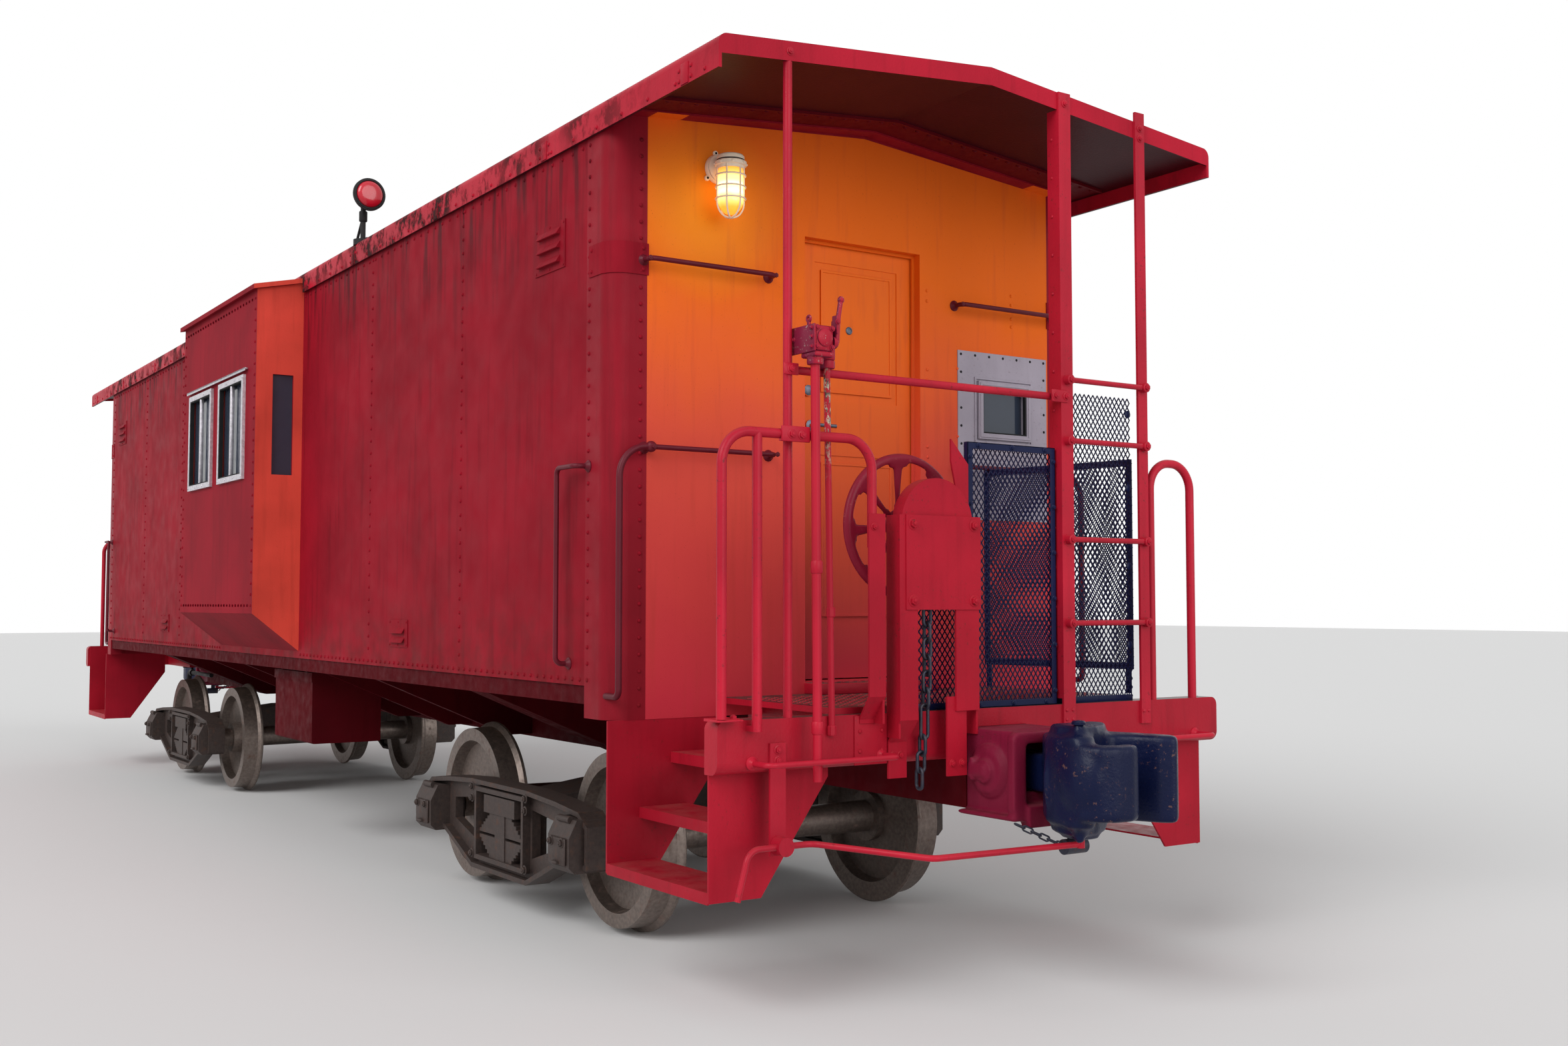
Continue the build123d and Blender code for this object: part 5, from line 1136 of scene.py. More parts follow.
class CABOOSE_OT_brake_wheels(bpy.types.Operator):
    """Hand brake wheels: a pressed dish with a curled rim and eight flared spokes"""
    bl_idname = "caboose.brake_wheels"
    bl_label = "Brake wheels"

    def execute(self, context):
        sizes = context.scene.caboose_body
        spokes = 8
        first_spoke = math.radians(84)
        # Radius and height of each ring, from the hub to the inside of the curled rim
        rings = [
            (0.024, 0.036), (0.050, 0.036), (0.072, 0.030), (0.094, 0.026), (0.130, 0.021),
            (0.175, 0.015), (0.220, 0.008), (0.243, 0.003), (0.262, -0.004), (0.276, -0.009),
            (0.290, -0.006), (0.296, 0.006), (0.290, 0.018), (0.278, 0.021),
        ]
        radius, height = rings[0]
        deselect()
        bpy.ops.mesh.primitive_circle_add(
            vertices=8 * spokes, radius=radius, fill_type="NOTHING", location=(0, 0, height))
        wheel = bpy.context.object
        edit_all(wheel)
        draw_out(rings)

        def in_opening(centre, normal):
            """Between two spokes, which are flared where they meet the hub and the rim."""
            out = math.hypot(centre.x, centre.y)
            turn = (math.atan2(centre.y, centre.x) - first_spoke) / (2 * math.pi) * spokes
            half_spoke = 0.14 if 0.094 < out < 0.243 else 0.26
            return 0.074 < out < 0.260 and abs(turn - round(turn)) > half_spoke

        select_faces(wheel, in_opening)
        bpy.ops.mesh.delete(type="FACE")
        face_outwards(wheel)
        apply_modifier(wheel, "SOLIDIFY", thickness=0.009, offset=0)
        apply_modifier(wheel, "SUBSURF", levels=1, render_levels=1)
        face_outwards(wheel)
        bpy.ops.object.shade_smooth()
        x, y, z = (sizes.platform_x - 0.180, -0.370, sizes.base_z + 0.800)
        hub = turned([(0.036, -0.060), (0.036, 0.030), (0.030, 0.046), (0.022, 0.048)], 24)
        pieces = [stood(wheel, (x, y, z), -OUT), stood(hub, (x, y, z), -OUT),
                  stood(bolt(0.040, 0.018), (x - 0.047, y, z), -OUT)]
        wheels = finish_both(pieces, "pressed_brake_wheels", "wheel_paint")
        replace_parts(wheels, "brake_wheels")
        return {"FINISHED"}


class CABOOSE_OT_brake_valves(bpy.types.Operator):
    """Brake valves: bracket plate, body, lever with its sector, and the two pipes"""
    bl_idname = "caboose.brake_valves"
    bl_label = "Brake valves"

    def execute(self, context):
        sizes = context.scene.caboose_body
        at = place_from(sizes.platform_x, sizes.base_z)
        cap = turned([(0.034, -0.004), (0.034, 0.005), (0.029, 0.009), (0.012, 0.011)], 24)
        valve = [
            slab(at(-0.024, -1.007, 1.428), at(0.130, -0.999, 1.532), 0.003),
            slab(at(0.020, -1.000, 1.430), at(0.126, -0.912, 1.530), 0.014, 3),
            slab(at(0.030, -1.001, 1.410), at(0.124, -0.912, 1.432), 0.007, 2),
            slab(at(-0.008, -0.930, 1.412), at(0.046, -0.846, 1.470), 0.010, 2),
            stood(cap, at(0.126, -0.957, 1.482), OUT),
            slab(at(0.074, -1.004, 1.520), at(0.090, -0.994, 1.546), 0.003),
            hoop(at(0.082, -0.999, 1.555), 0.011, 0.0055, 16, 0, 2),
        ]
        # Lever on its boss, with the sector behind it
        pivot = at(0.108, -0.913, 1.468)
        near = place_from(pivot[0], sizes.base_z)
        boss = turned([(0.024, 0), (0.024, 0.014), (0.018, 0.022)], 16)
        knob = turned([(0.006, -0.012), (0.012, -0.006), (0.0135, 0), (0.012, 0.008),
                       (0.006, 0.014)], 16)
        valve += [
            stood(boss, pivot, (0, 1, 0)),
            slab(near(-0.020, -0.902, 1.456), near(0.016, -0.892, 1.556), 0.006, 2),
            slab(near(-0.008, -0.906, 1.500), near(0.026, -0.898, 1.572), 0.006, 2),
            tube([near(0.004, -0.890, 1.470), near(0.002, -0.884, 1.560),
                  near(-0.002, -0.874, 1.600), near(-0.002, -0.868, 1.634)], 0.0095, 12),
            stood(knob, near(-0.002, -0.867, 1.636), UP),
        ]
        bolts = [(at(0.112, -1.007, rise), (0, -1, 0)) for rise in (1.446, 1.484, 1.518)]
        bolts.append((at(-0.008, -1.007, 1.486), (0, -1, 0)))
        bolts += [(at(0.126, y, rise), OUT) for y in (-0.992, -0.922) for rise in (1.446, 1.518)]
        bolts.append((near(0.026, -0.902, 1.545), OUT))
        valve.append(stamped(bolt(0.015, 0.008), bolts))
        for out, y in ((0.082, -0.970), (0.020, -0.872)):
            nut = turned([(0.030, -0.018), (0.032, -0.012), (0.032, 0.010)], 20)
            valve.append(stood(nut, at(out, y, 1.402), UP))
        body = finish_both(valve, "brake_valve_bodies", "valve_paint")
        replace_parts(body, "brake_valves")
        thick = turned([(0.020, -0.024), (0.023, -0.018), (0.023, 0.018), (0.020, 0.024)], 20)
        thin = turned([(0.015, -0.020), (0.018, -0.015), (0.018, 0.015), (0.015, 0.020)], 8, False)
        pipes = [
            tube([at(0.082, -0.960, -0.180), at(0.082, -0.970, 1.400)], 0.018, 16, straight=True),
            tube([at(0.013, -0.845, -0.020), at(0.020, -0.872, 1.400)], 0.013, 16, straight=True),
            stamped(thick, [(at(0.082, -0.964, 0.62), UP), (at(0.082, -0.961, 0.02), UP)]),
            stamped(thin, [(at(0.015, -0.851, 0.45), UP), (at(0.013, -0.845, 0), UP)]),
        ]
        finish_both(pipes, "brake_valve_pipes", "pipe_paint")
        return {"FINISHED"}


class CABOOSE_OT_screens(bpy.types.Operator):
    """Expanded metal of the gates, the ladder screens, the brake stands and the far steps"""
    bl_idname = "caboose.screens"
    bl_label = "Mesh screens"

    def diamond_sheet(self, sizes, x, low, high):
        """Diamonds of thin strands that fill a rectangle across the car."""
        (left, bottom), (right, top) = low, high
        columns = round((right - left) / sizes.mesh_width)
        rows = round((top - bottom) / sizes.mesh_height)
        width = (right - left) / columns
        height = (top - bottom) / rows
        half = math.hypot(width, height) / 4 + 0.001
        lean = math.atan2(width, height)
        strands = []
        for across, up, turn in (
            (0.25, 0.25, lean), (0.75, 0.25, -lean), (0.25, 0.75, -lean), (0.75, 0.75, lean),
        ):
            strand = slab((-0.0018, -0.0020, -half), (0.0018, 0.0020, half), 0)
            strand.rotation_euler = (turn, 0, 0)
            strand.location = (x, left + across * width, bottom + up * height)
            strands.append(strand)
        cell = join(strands)
        repeated(cell, (0, width, 0), columns)
        return repeated(cell, (0, 0, height), rows)

    def far_panel(self, sizes):
        """A panel that closes the far steps, from the wall to the ladder."""
        start = Vector((sizes.end_x + 0.030, 0.700, 0))
        run = Vector((sizes.platform_x - 0.042, 0.855, 0)) - start
        base, length = sizes.base_z, run.length
        low, high = base + 0.190, base + 1.130
        feet = [slab((-0.004, left, base + 0.084), (0.004, right, base + 0.200), 0.001)
                for left, right in ((0.012, 0.040), (length - 0.040, length - 0.012))]
        panel = join([
            self.diamond_sheet(sizes, 0, (0, low), (length, high)),
            open_frame((-0.004, 0, low), (0.004, length, high), 0.030, 0), *feet,
        ])
        panel.rotation_euler = (0, 0, math.atan2(run.y, run.x) - math.pi / 2)
        panel.location = start
        return panel

    def execute(self, context):
        sizes = context.scene.caboose_body
        base = sizes.base_z
        x = sizes.platform_x - 0.045
        bottom = base + 0.055
        gate = ((-0.129, bottom), (0.365, base + 1.151))
        ladder = ((0.445, bottom), (0.846, base + 1.400))
        stand = ((-0.400, bottom), (-0.129, base + 0.500))
        sheet = self.diamond_sheet(sizes, x + 0.004, *gate)
        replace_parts(finish_both([sheet], "gate_mesh", "mesh_paint"), "screens")
        sheets = [self.diamond_sheet(sizes, x + 0.002, *place) for place in (ladder, stand)]
        finish_both(sheets, "ladder_mesh", "mesh_paint")
        finish_both([self.far_panel(sizes)], "step_gates", "mesh_paint")
        (left, _), (right, top) = gate
        (stand_left, _), (_, stand_top) = stand
        back, front = x + 0.004, x + 0.025
        bars = (
            (ladder[0][0] - 0.080, bottom, ladder[1][0], bottom + 0.026),
            (stand_left, bottom, left, bottom + 0.026),
            (stand_left, bottom, stand_left + 0.020, stand_top),
            (stand_left, stand_top - 0.016, left, stand_top),
        )
        pieces = [slab((x, y, z), (back, far_y, far_z), 0.001) for y, z, far_y, far_z in bars]
        pieces.append(open_frame((x, left, bottom), (front, right, top), 0.005, 0))
        pieces.append(open_frame((x + 0.020, left, bottom), (front, right, top), 0.028, 0))
        screws = []
        for number in range(6):
            z = bottom + 0.06 + number * (top - bottom - 0.12) / 5
            screws += [((front, left + 0.013, z), OUT), ((front, right - 0.013, z), OUT)]
        for number in range(3):
            y = left + 0.06 + number * (right - left - 0.12) / 2
            screws += [((front, y, bottom + 0.013), OUT), ((front, y, top - 0.013), OUT)]
        washer = turned([(0.017, -0.003), (0.017, 0.002), (0.008, 0.005)], 12)
        washers = [((back, y, base + rise), OUT)
                   for rise in (0.30, 0.65, 1.00, 1.33) for y in (0.462, 0.832)]
        pieces += [stamped(bolt(0.016, 0.007), screws), stamped(washer, washers)]
        finish_both(pieces, "gate_frame", "mesh_paint")
        return {"FINISHED"}


class CABOOSE_OT_end_lamps(bpy.types.Operator):
    """Lamps on the end walls: cast base and collar, lit amber globe, wire guard"""
    bl_idname = "caboose.end_lamps"
    bl_label = "End lamps"

    def execute(self, context):
        sizes = context.scene.caboose_body
        wall = sizes.end_x
        x, y, top = wall + 0.110, -0.808, sizes.base_z + LAMP_RISE
        foot = (wall, y, top - 0.040)
        # Base on the wall, arm, collar in two steps, cover
        casting = [stood(turned(profile, 32), place, facing) for profile, place, facing in (
            ([(0.064, 0), (0.066, 0.004), (0.062, 0.024), (0.060, 0.026)], foot, OUT),
            ([(0.062, 0.029), (0.062, 0.034), (0.054, 0.043), (0.036, 0.050), (0.032, 0.100)],
             foot, OUT),
            ([(0.050, -0.040), (0.056, -0.034), (0.060, -0.028)], (x, y, top), UP),
            ([(0.058, -0.064), (0.061, -0.058), (0.061, -0.052), (0.069, -0.049), (0.0695, -0.034),
              (0.063, -0.029)], (x, y, top), UP),
            ([(0.060, -0.025), (0.0595, -0.010), (0.054, -0.003), (0.040, 0), (0.010, 0.0015)],
             (x, y, top), UP),
        )]
        lugs = [(on_circle(foot, 0.071, degrees, 1, 2), OUT) for degrees in (100, 220, 340)]
        screws = [((wall + 0.009, *place[1:]), facing) for place, facing in lugs]
        screws += [(on_circle((wall + 0.038, *foot[1:]), 0.050, degrees, 1, 2), OUT)
                   for degrees in (55, 180, 305)]
        lug = turned([(0.012, 0), (0.012, 0.007), (0.010, 0.009)], 12)
        bead = turned([(0.005, -0.002), (0.005, 0.002), (0.0035, 0.004)], 8)
        collar = (x, y, top - 0.0415)
        beads = [(on_circle(collar, 0.0695, degrees), on_circle((0, 0, 0), 1, degrees))
                 for degrees in range(20, 380, 45)]
        casting += [stamped(lug, lugs), stamped(bead, beads)]
        # Guard: wires that run down and meet below the globe, and three hoops round them
        wire = 0.0040
        half_wire = [(0.0595, -0.052), (0.0595, -0.185), (0.0595, -0.228), (0.040, -0.262),
                     (0.014, -0.274), (0, -0.2745)]
        for degrees in range(12, 372, 60):
            points = [on_circle((x, y, top + rise), out, degrees) for out, rise in half_wire]
            casting.append(tube(points, wire, 8))
        casting += [hoop((x, y, top - drop), 0.0645, wire, 24) for drop in (0.093, 0.143, 0.194)]
        case = finish_both(casting, "end_lamp_case", "lamp_paint")
        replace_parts(case, "end_lamps")
        dark = [
            stood(turned([(0.0605, 0.025), (0.0605, 0.030)], 32), foot, OUT),
            stood(turned([(0.0612, -0.030), (0.0612, -0.024)], 32), (x, y, top), UP),
            stamped(turned([(0.005, 0), (0.005, 0.003), (0.003, 0.004)], 8), screws),
        ]
        finish_both(dark, "end_lamp_gaskets", "rubber")
        globe_radius, round_from = 0.0545, -0.200
        profile = [(0.048, -0.058), (0.054, -0.066), (globe_radius, round_from)]
        for step in range(1, 8):
            angle = math.radians(90 * step / 8)
            profile.append((globe_radius * math.cos(angle), round_from - 0.062 * math.sin(angle)))
        globe = stood(turned(profile, 32), (x, y, top), UP)
        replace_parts(finish_both([globe], "end_lamp_globe", "lamp_glass"), "lamp_globes")
        return {"FINISHED"}


class CABOOSE_OT_marker_lamps(bpy.types.Operator):
    """Red lenses, rims, screws and clamps of the roof's marker lamps"""
    bl_idname = "caboose.marker_lamps"
    bl_label = "Marker lamps"

    def execute(self, context):
        sizes = context.scene.caboose_body
        x, y, z = 2.060, -1.300, sizes.base_z + 2.878
        lens = turned([(0.077, 0.019), (0.077, 0.024), (0.070, 0.035), (0.058, 0.042),
                       (0.040, 0.046), (0.018, 0.048), (0.002, 0.0485)], 32)
        finish_both([stood(lens, (x, y, z), OUT)], "marker_lenses", "lens_glass")
        screws = [(on_circle((x + 0.022, y, z), 0.0855, degrees, 1, 2), OUT)
                  for degrees in (45, 135, 225, 315)]
        # Clamp that holds the lamp on its stem, and the bolts of its foot
        stem_x = x - 0.090
        clamp = turned([(0.022, -0.03), (0.024, -0.026), (0.024, 0.026), (0.022, 0.03)], 16)
        foot = roof_rise(sizes, y) + 0.014
        bolts = [((stem_x + step, y + 0.012, foot), UP) for step in (-0.038, 0.038)]
        pieces = [
            hoop((x + 0.019, y, z), 0.0845, 0.006, 24, 1, 2), stamped(screw_head(0.006), screws),
            stood(clamp, (stem_x, y, z - 0.11), UP), stamped(bolt(0.018, 0.009), bolts),
        ]
        finish_both(pieces, "marker_lamp_fittings", "under_black")
        return {"FINISHED"}


class CABOOSE_OT_window_trims(bpy.types.Operator):
    """Screws, trims and gaskets of the end windows and the bay windows"""
    bl_idname = "caboose.window_trims"
    bl_label = "Window trims"

    def end_windows(self, sizes):
        """Two stepped trims, gasket and screws of the end window's plate."""
        x, y, z = sizes.end_x, 0.851, sizes.base_z + 1.428
        rims = [open_frame((x + low, y - wide, z - tall), (x + high, y + wide, z + tall), bar, 0)
                for low, high, wide, tall, bar in (
                    (0.004, 0.012, 0.188, 0.160, 0.010), (0.020, 0.026, 0.163, 0.134, 0.012),
                    (0, 0.016, 0.144, 0.115, 0.009))]
        finish_both(rims[:2], "end_window_trim", "window_plate")
        low, high, half = sizes.base_z + 0.908, sizes.base_z + 1.694, 0.272
        screws = []
        for number in range(7):
            across = y - half + number * 0.544 / 6
            screws += [((x + 0.005, across, low), OUT), ((x + 0.005, across, high), OUT)]
        for number in range(1, 9):
            rise = low + number * 0.786 / 9
            screws += [((x + 0.005, y - half, rise), OUT), ((x + 0.005, y + half, rise), OUT)]
        finish_both([rims[2], stamped(screw_head(0.0065), screws)], "end_window_gaskets", "rubber")

    def bay_windows(self, sizes):
        """Sash bar, gasket and screws of each window, and a drip rail over each pair."""
        mid_z = sizes.base_z + 1.620
        sashes = []
        gaskets = []
        spots = []
        for side in (-1, 1):
            sheet, back, face = (side * (sizes.bay_y + out) for out in (0, -0.012, 0.020))
            inset = side * 0.002
            for middle in (-0.400, 0.400):
                gaskets.append(open_frame((middle - 0.276, back + inset, mid_z - 0.306),
                                          (middle + 0.276, face - inset, mid_z + 0.306), 0.012, 1))
                sashes.append(slab((middle - 0.014, back + 2 * inset, mid_z - 0.300),
                                   (middle + 0.014, face - 2 * inset, mid_z + 0.300), 0.003))
                spots += [((middle + across, face, mid_z + up), (0, side, 0))
                          for across in (-0.290, -0.097, 0.097, 0.290) for up in (-0.320, 0.320)]
            for out, rise in ((0, 1.985), (0.018, 1.975)):
                sashes.append(slab((-0.76, sheet + side * out, sizes.base_z + rise),
                                   (0.76, sheet + side * 0.024, sizes.base_z + 1.995)))
        sashes.append(stamped(screw_head(0.007), spots))
        settle(join(sashes), "bay_window_sashes", "window_metal")
        settle(join(gaskets), "bay_window_gaskets", "rubber")

    def execute(self, context):
        sizes = context.scene.caboose_body
        self.end_windows(sizes)
        self.bay_windows(sizes)
        return {"FINISHED"}


class CABOOSE_OT_door_fittings(bpy.types.Operator):
    """Spyhole, locks, lever and beads of the end doors"""
    bl_idname = "caboose.door_fittings"
    bl_label = "Door fittings"

    def execute(self, context):
        sizes = context.scene.caboose_body
        at = place_from(sizes.end_x - 0.060, sizes.base_z)
        lock_side = -0.3325
        spyhole = turned([(0.0185, -0.001), (0.0185, 0.003), (0.0150, 0.006), (0.0120, 0.006),
                          (0.0110, 0.003)], 24)
        cylinder = turned([(0.024, 0.010), (0.024, 0.013), (0.016, 0.017), (0.010, 0.018)], 24)
        rosette = turned([(0.026, 0.006), (0.026, 0.009), (0.018, 0.013)], 24)
        lever_y, lever_rise = lock_side + 0.060, 1.295
        lever = tube([at(0, lever_y, lever_rise), at(0.048, lever_y, lever_rise),
                      at(0.052, lock_side + 0.075, lever_rise),
                      at(0.050, -0.160, lever_rise)], 0.008, 12)
        bright = [
            stood(spyhole, at(0, -0.049, 1.753), OUT),
            stood(cylinder, at(0, lock_side + 0.045, 1.456), OUT),
            stood(rosette, at(0, lever_y, lever_rise), OUT), lever,
        ]
        finish_apart(bright, "door_lock", "bright_steel", "door_{}")
        beads = [open_frame(at(-0.001, -0.2105, low), at(0.004, 0.2005, high), 0.012, 0)
                 for low, high in ((1.455, 2.023), (0.423, 1.132))]
        finish_apart(beads, "door_beads", "door_paint", "door_{}")
        return {"FINISHED"}


class CABOOSE_OT_vent_screws(bpy.types.Operator):
    """Screws round the vents and the lower plates of the sides, and the plates' louvres"""
    bl_idname = "caboose.vent_screws"
    bl_label = "Vent screws"

    def execute(self, context):
        sizes = context.scene.caboose_body
        # Distance from the end, length, lower and upper edge above the base
        vent = (0.424, 0.303, 1.966, 2.180)
        plate = (2.292, 0.275, 0.248, 0.395)
        spots = []
        for side in (-1, 1):
            for near, length, low, high in (vent, plate):
                x, y = sizes.end_x - near, side * (sizes.side_y + 0.005)
                spots += [((along, y, sizes.base_z + rise), (0, side, 0))
                          for along in (x - 0.014, x - length / 2, x - length + 0.014)
                          for rise in (low + 0.012, high - 0.012)]
        finish_both([stamped(screw_head(0.006), spots)], "vent_screws", "side_paint")
        louvres = []
        for side in (-1, 1):
            for rise in (0.288, 0.338):
                louvre = slab((-0.095, -0.003, -0.020), (0.095, 0.003, 0.020), 0.0025)
                louvre.rotation_euler = (side * math.radians(32), 0, 0)
                louvre.location = (sizes.end_x - plate[0] - plate[1] / 2,
                                   side * (sizes.side_y + 0.011), sizes.base_z + rise)
                louvres.append(louvre)
        finish_both(louvres, "lower_louvres", "side_paint")
        return {"FINISHED"}


class CABOOSE_OT_tread_plates(bpy.types.Operator):
    """Raised lozenges on the decks and thresholds"""
    bl_idname = "caboose.tread_plates"
    bl_label = "Tread plates"

    def lozenges(self, low, high, z):
        """Rows of lozenges that lean to alternate sides and fill a rectangle."""
        pieces = []
        step = 0.046
        columns = int((high[0] - low[0]) / step)
        rows = int((high[1] - low[1]) / step)
        for lean, offset in ((45, 0.0), (-45, step / 2)):
            deselect()
            bpy.ops.mesh.primitive_cone_add(vertices=6, radius1=0.013, radius2=0.009, depth=0.0022)
            lozenge = bpy.context.object
            lozenge.scale = (1, 0.36, 1)
            lozenge.rotation_euler = (0, 0, math.radians(lean))
            lozenge.location = (low[0] + 0.02 + offset, low[1] + 0.02 + offset, z + 0.0009)
            repeated(lozenge, (step, 0, 0), columns)
            pieces.append(repeated(lozenge, (0, step, 0), rows))
        return pieces

    def execute(self, context):
        sizes = context.scene.caboose_body
        deck = sizes.base_z + 0.080
        end = sizes.end_x
        threshold = deck + 0.050
        pieces = self.lozenges((end + 0.14, -0.76), (sizes.platform_x - 0.07, 0.76), deck)
        pieces.append(slab((end - 0.030, -0.345, deck - 0.001),
                           (end + 0.120, 0.335, threshold), 0.006))
        pieces += self.lozenges((end - 0.010, -0.330), (end + 0.110, 0.320), threshold)
        finish_both(pieces, "deck_treads", "platform_paint")
        return {"FINISHED"}


class CABOOSE_OT_coupler_fittings(bpy.types.Operator):
    """Couplers and strikers with the rounded edges of castings, and the knuckle pins' heads"""
    bl_idname = "caboose.coupler_fittings"
    bl_label = "Coupler fittings"

    def execute(self, context):
        sizes = context.scene.caboose_body
        at = place_from(sizes.platform_x + 0.332, sizes.coupler_z)
        pin_head = turned([(0.026, -0.004), (0.027, 0.004), (0.022, 0.010), (0.010, 0.012)], 20)
        finish_both([stood(pin_head, at(0.292, -0.150, 0.216), UP)], "coupler_pin_heads",
                    "coupler_paint")
        # The head swells at its side and narrows to its foot
        lumps = []
        for out, y, rise, radii in (
            (0.205, -0.118, 0.010, (0.100, 0.072, 0.130)),
            (0.215, -0.060, -0.150, (0.070, 0.070, 0.085)),
            (0.310, -0.160, 0.012, (0.118, 0.066, 0.158)),
            (0.168, -0.186, -0.005, (0.016, 0.026, 0.120)),
        ):
            deselect()
            bpy.ops.mesh.primitive_uv_sphere_add(segments=32, ring_count=20, radius=1)
            lump = bpy.context.object
            lump.scale = radii
            lump.location = at(out, y, rise)
            lumps += [lump, turned_half_round(lump)]
        coupler = cast_like("couplers", 0.007, 28, *lumps)
        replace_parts(settle(coupler, "coupler_castings", "coupler_paint"), "couplers")
        striker = cast_like("strikers", 0.008, 4)
        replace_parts(settle(striker, "striker_castings", "striker_paint"), "strikers")
        return {"FINISHED"}


class CABOOSE_OT_bogie_fittings(bpy.types.Operator):
    """Lids of the journal boxes and bolts of the side frames"""
    bl_idname = "caboose.bogie_fittings"
    bl_label = "Bogie fittings"

    def execute(self, context):
        pivot_x = 3.410
        half_base = 0.850
        axle_z = 0.446
        frame_y = 0.978
        rim_y = frame_y + 0.065
        lid_y = rim_y + 0.070
        pieces = []
        spots = []
        for side in (-1, 1):
            facing = (0, side, 0)
            y = side * lid_y
            lid_face = y + side * 0.012
            for x in (pivot_x - half_base, pivot_x + half_base):
                pieces.append(slab((x - 0.085, y, axle_z - 0.088),
                                   (x + 0.085, lid_face, axle_z + 0.036), 0.005))
                pieces.append(slab((x - 0.030, y, axle_z - 0.086),
                                   (x + 0.030, y + side * 0.030, axle_z - 0.070), 0.005))
                spots += [((x + step, lid_face, axle_z + 0.016), facing)
                          for step in (-0.055, 0.055)]
            spots += [((pivot_x + step, side * rim_y, z), facing)
                      for step in (-0.330, 0.330) for z in (0.600, 0.540, 0.250)]
        pieces.append(stamped(bolt(0.030, 0.014), spots))
        finish_apart(pieces, "journal_lids", "bogie_metal", "bogie_{}")
        return {"FINISHED"}


class CABOOSE_OT_stage(bpy.types.Operator):
    """Pale floor, soft lamps, even sky and the camera"""
    bl_idname = "caboose.stage"
    bl_label = "Stage"

    def execute(self, context):
        view = context.scene.caboose_view
        deselect()
        bpy.ops.mesh.primitive_plane_add(size=160, location=(0, 0, 0))
        floor = bpy.context.object
        floor.name = "floor_sheet"
        tree, shader = new_material("floor_sheet")
        feed(tree, shader, Base_Color=(0.74, 0.74, 0.74, 1), Roughness=0.9)
        floor.data.materials.append(finish_of("floor_sheet"))
        world = bpy.data.worlds.new("even_sky")
        world.use_nodes = True
        context.scene.world = world
        sky = world.node_tree
        path = sky.nodes.new("ShaderNodeLightPath")
        seen = sums(sky, "MAXIMUM", path.outputs["Is Camera Ray"], path.outputs["Is Glossy Ray"])
        seen = sums(sky, "MAXIMUM", seen, path.outputs["Is Transmission Ray"])
        background = sky.nodes["Background"]
        strength = ramp(sky, seen, 0, 1, view.sky_strength, 1.0)
        feed(sky, background, Color=(1, 1, 1, 1), Strength=strength)
        # Large soft lamps far away: (direction towards the lamp, strength, spread in degrees)
        lamps = {
            "key_lamp": ((0.30, -1.0, 0.75), view.key_strength, 40),
            "fill_lamp": ((1.0, 0.10, 0.30), view.fill_strength, 50),
        }
        for name, (towards, strength, spread) in lamps.items():
            lamp = bpy.data.lights.new(name, "SUN")
            lamp.energy = strength
            lamp.angle = math.radians(spread)
            holder = bpy.data.objects.new(name, lamp)
            context.scene.collection.objects.link(holder)
            holder.rotation_euler = Vector(towards).to_track_quat("Z", "Y").to_euler()
        camera_data = bpy.data.cameras.new("camera")
        camera = bpy.data.objects.new("camera", camera_data)
        context.scene.collection.objects.link(camera)
        camera_data.sensor_width = 36
        camera_data.lens = view.lens
        camera_data.clip_end = 300
        camera.location = view.camera_place
        aim = Vector((
            math.cos(view.camera_heading) * math.cos(view.camera_pitch),
            math.sin(view.camera_heading) * math.cos(view.camera_pitch),
            math.sin(view.camera_pitch),
        ))
        camera.rotation_euler = aim.to_track_quat("-Z", "Y").to_euler()
        context.scene.camera = camera
        context.scene.view_settings.view_transform = "Standard"
        return {"FINISHED"}


class CABOOSE_PT_panel(bpy.types.Panel):
    """Buttons for every step, in the 3D view's sidebar"""
    bl_idname = "CABOOSE_PT_panel"
    bl_label = "Caboose"
    bl_space_type = "VIEW_3D"
    bl_region_type = "UI"
    bl_category = "Caboose"

    def draw(self, context):
        column = self.layout.column()
        for operator in STEPS:
            column.operator(operator.bl_idname)
        scene = context.scene
        for group in (scene.caboose_body, scene.caboose_paint, scene.caboose_view):
            for name in group.bl_rna.properties.keys():
                if name not in ("rna_type", "name"):
                    column.prop(group, name)


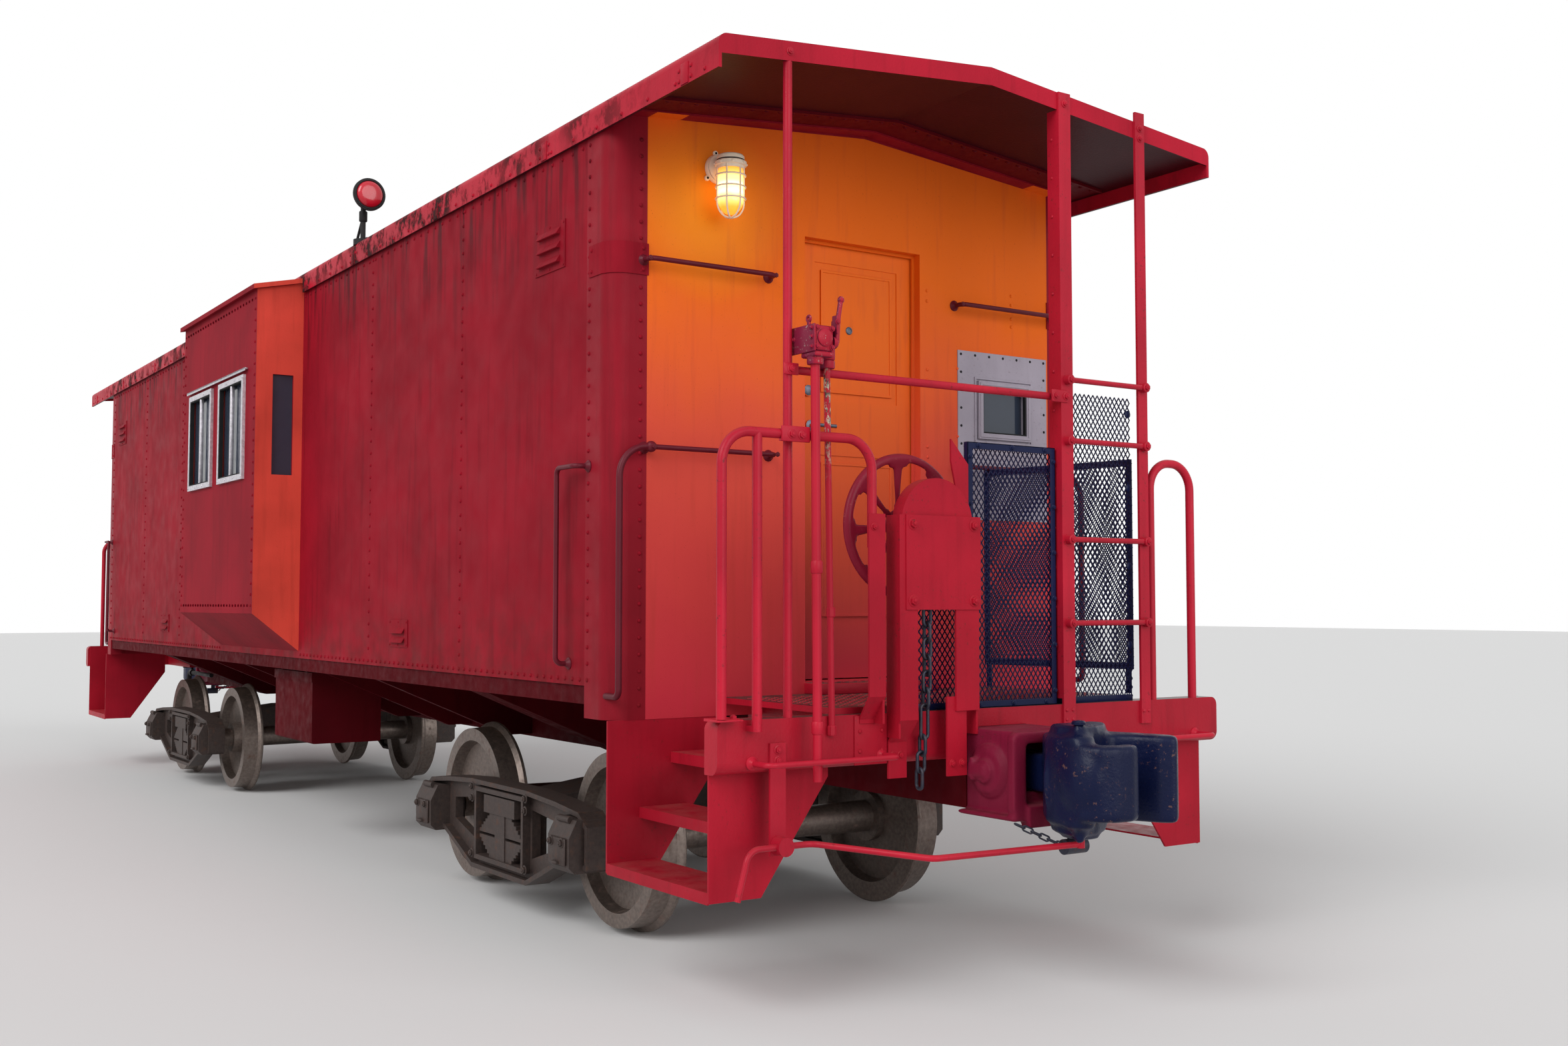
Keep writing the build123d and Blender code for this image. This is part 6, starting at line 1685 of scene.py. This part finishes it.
STEPS = (
    CABOOSE_OT_finishes, CABOOSE_OT_body_rivets, CABOOSE_OT_roof_fittings,
    CABOOSE_OT_corner_bands, CABOOSE_OT_grab_feet, CABOOSE_OT_railing_fittings,
    CABOOSE_OT_brake_fittings, CABOOSE_OT_brake_wheels, CABOOSE_OT_brake_valves,
    CABOOSE_OT_screens, CABOOSE_OT_end_lamps, CABOOSE_OT_marker_lamps,
    CABOOSE_OT_window_trims, CABOOSE_OT_door_fittings, CABOOSE_OT_vent_screws,
    CABOOSE_OT_tread_plates, CABOOSE_OT_coupler_fittings, CABOOSE_OT_bogie_fittings,
    CABOOSE_OT_stage,
)
GROUPS = (BodySizes, PaintColours, ViewSettings)


def register():
    for item in GROUPS + STEPS + (CABOOSE_PT_panel,):
        bpy.utils.register_class(item)
    bpy.types.Scene.caboose_body = PointerProperty(type=BodySizes)
    bpy.types.Scene.caboose_paint = PointerProperty(type=PaintColours)
    bpy.types.Scene.caboose_view = PointerProperty(type=ViewSettings)


def unregister():
    del bpy.types.Scene.caboose_view
    del bpy.types.Scene.caboose_paint
    del bpy.types.Scene.caboose_body
    for item in reversed(GROUPS + STEPS + (CABOOSE_PT_panel,)):
        bpy.utils.unregister_class(item)


def main():
    register()
    bpy.ops.caboose.finishes()
    bpy.ops.caboose.body_rivets()
    bpy.ops.caboose.roof_fittings()
    bpy.ops.caboose.corner_bands()
    bpy.ops.caboose.grab_feet()
    bpy.ops.caboose.railing_fittings()
    bpy.ops.caboose.brake_fittings()
    bpy.ops.caboose.brake_wheels()
    bpy.ops.caboose.brake_valves()
    bpy.ops.caboose.screens()
    bpy.ops.caboose.end_lamps()
    bpy.ops.caboose.marker_lamps()
    bpy.ops.caboose.window_trims()
    bpy.ops.caboose.door_fittings()
    bpy.ops.caboose.vent_screws()
    bpy.ops.caboose.tread_plates()
    bpy.ops.caboose.coupler_fittings()
    bpy.ops.caboose.bogie_fittings()
    bpy.ops.caboose.stage()


if __name__ == "__main__":
    main()
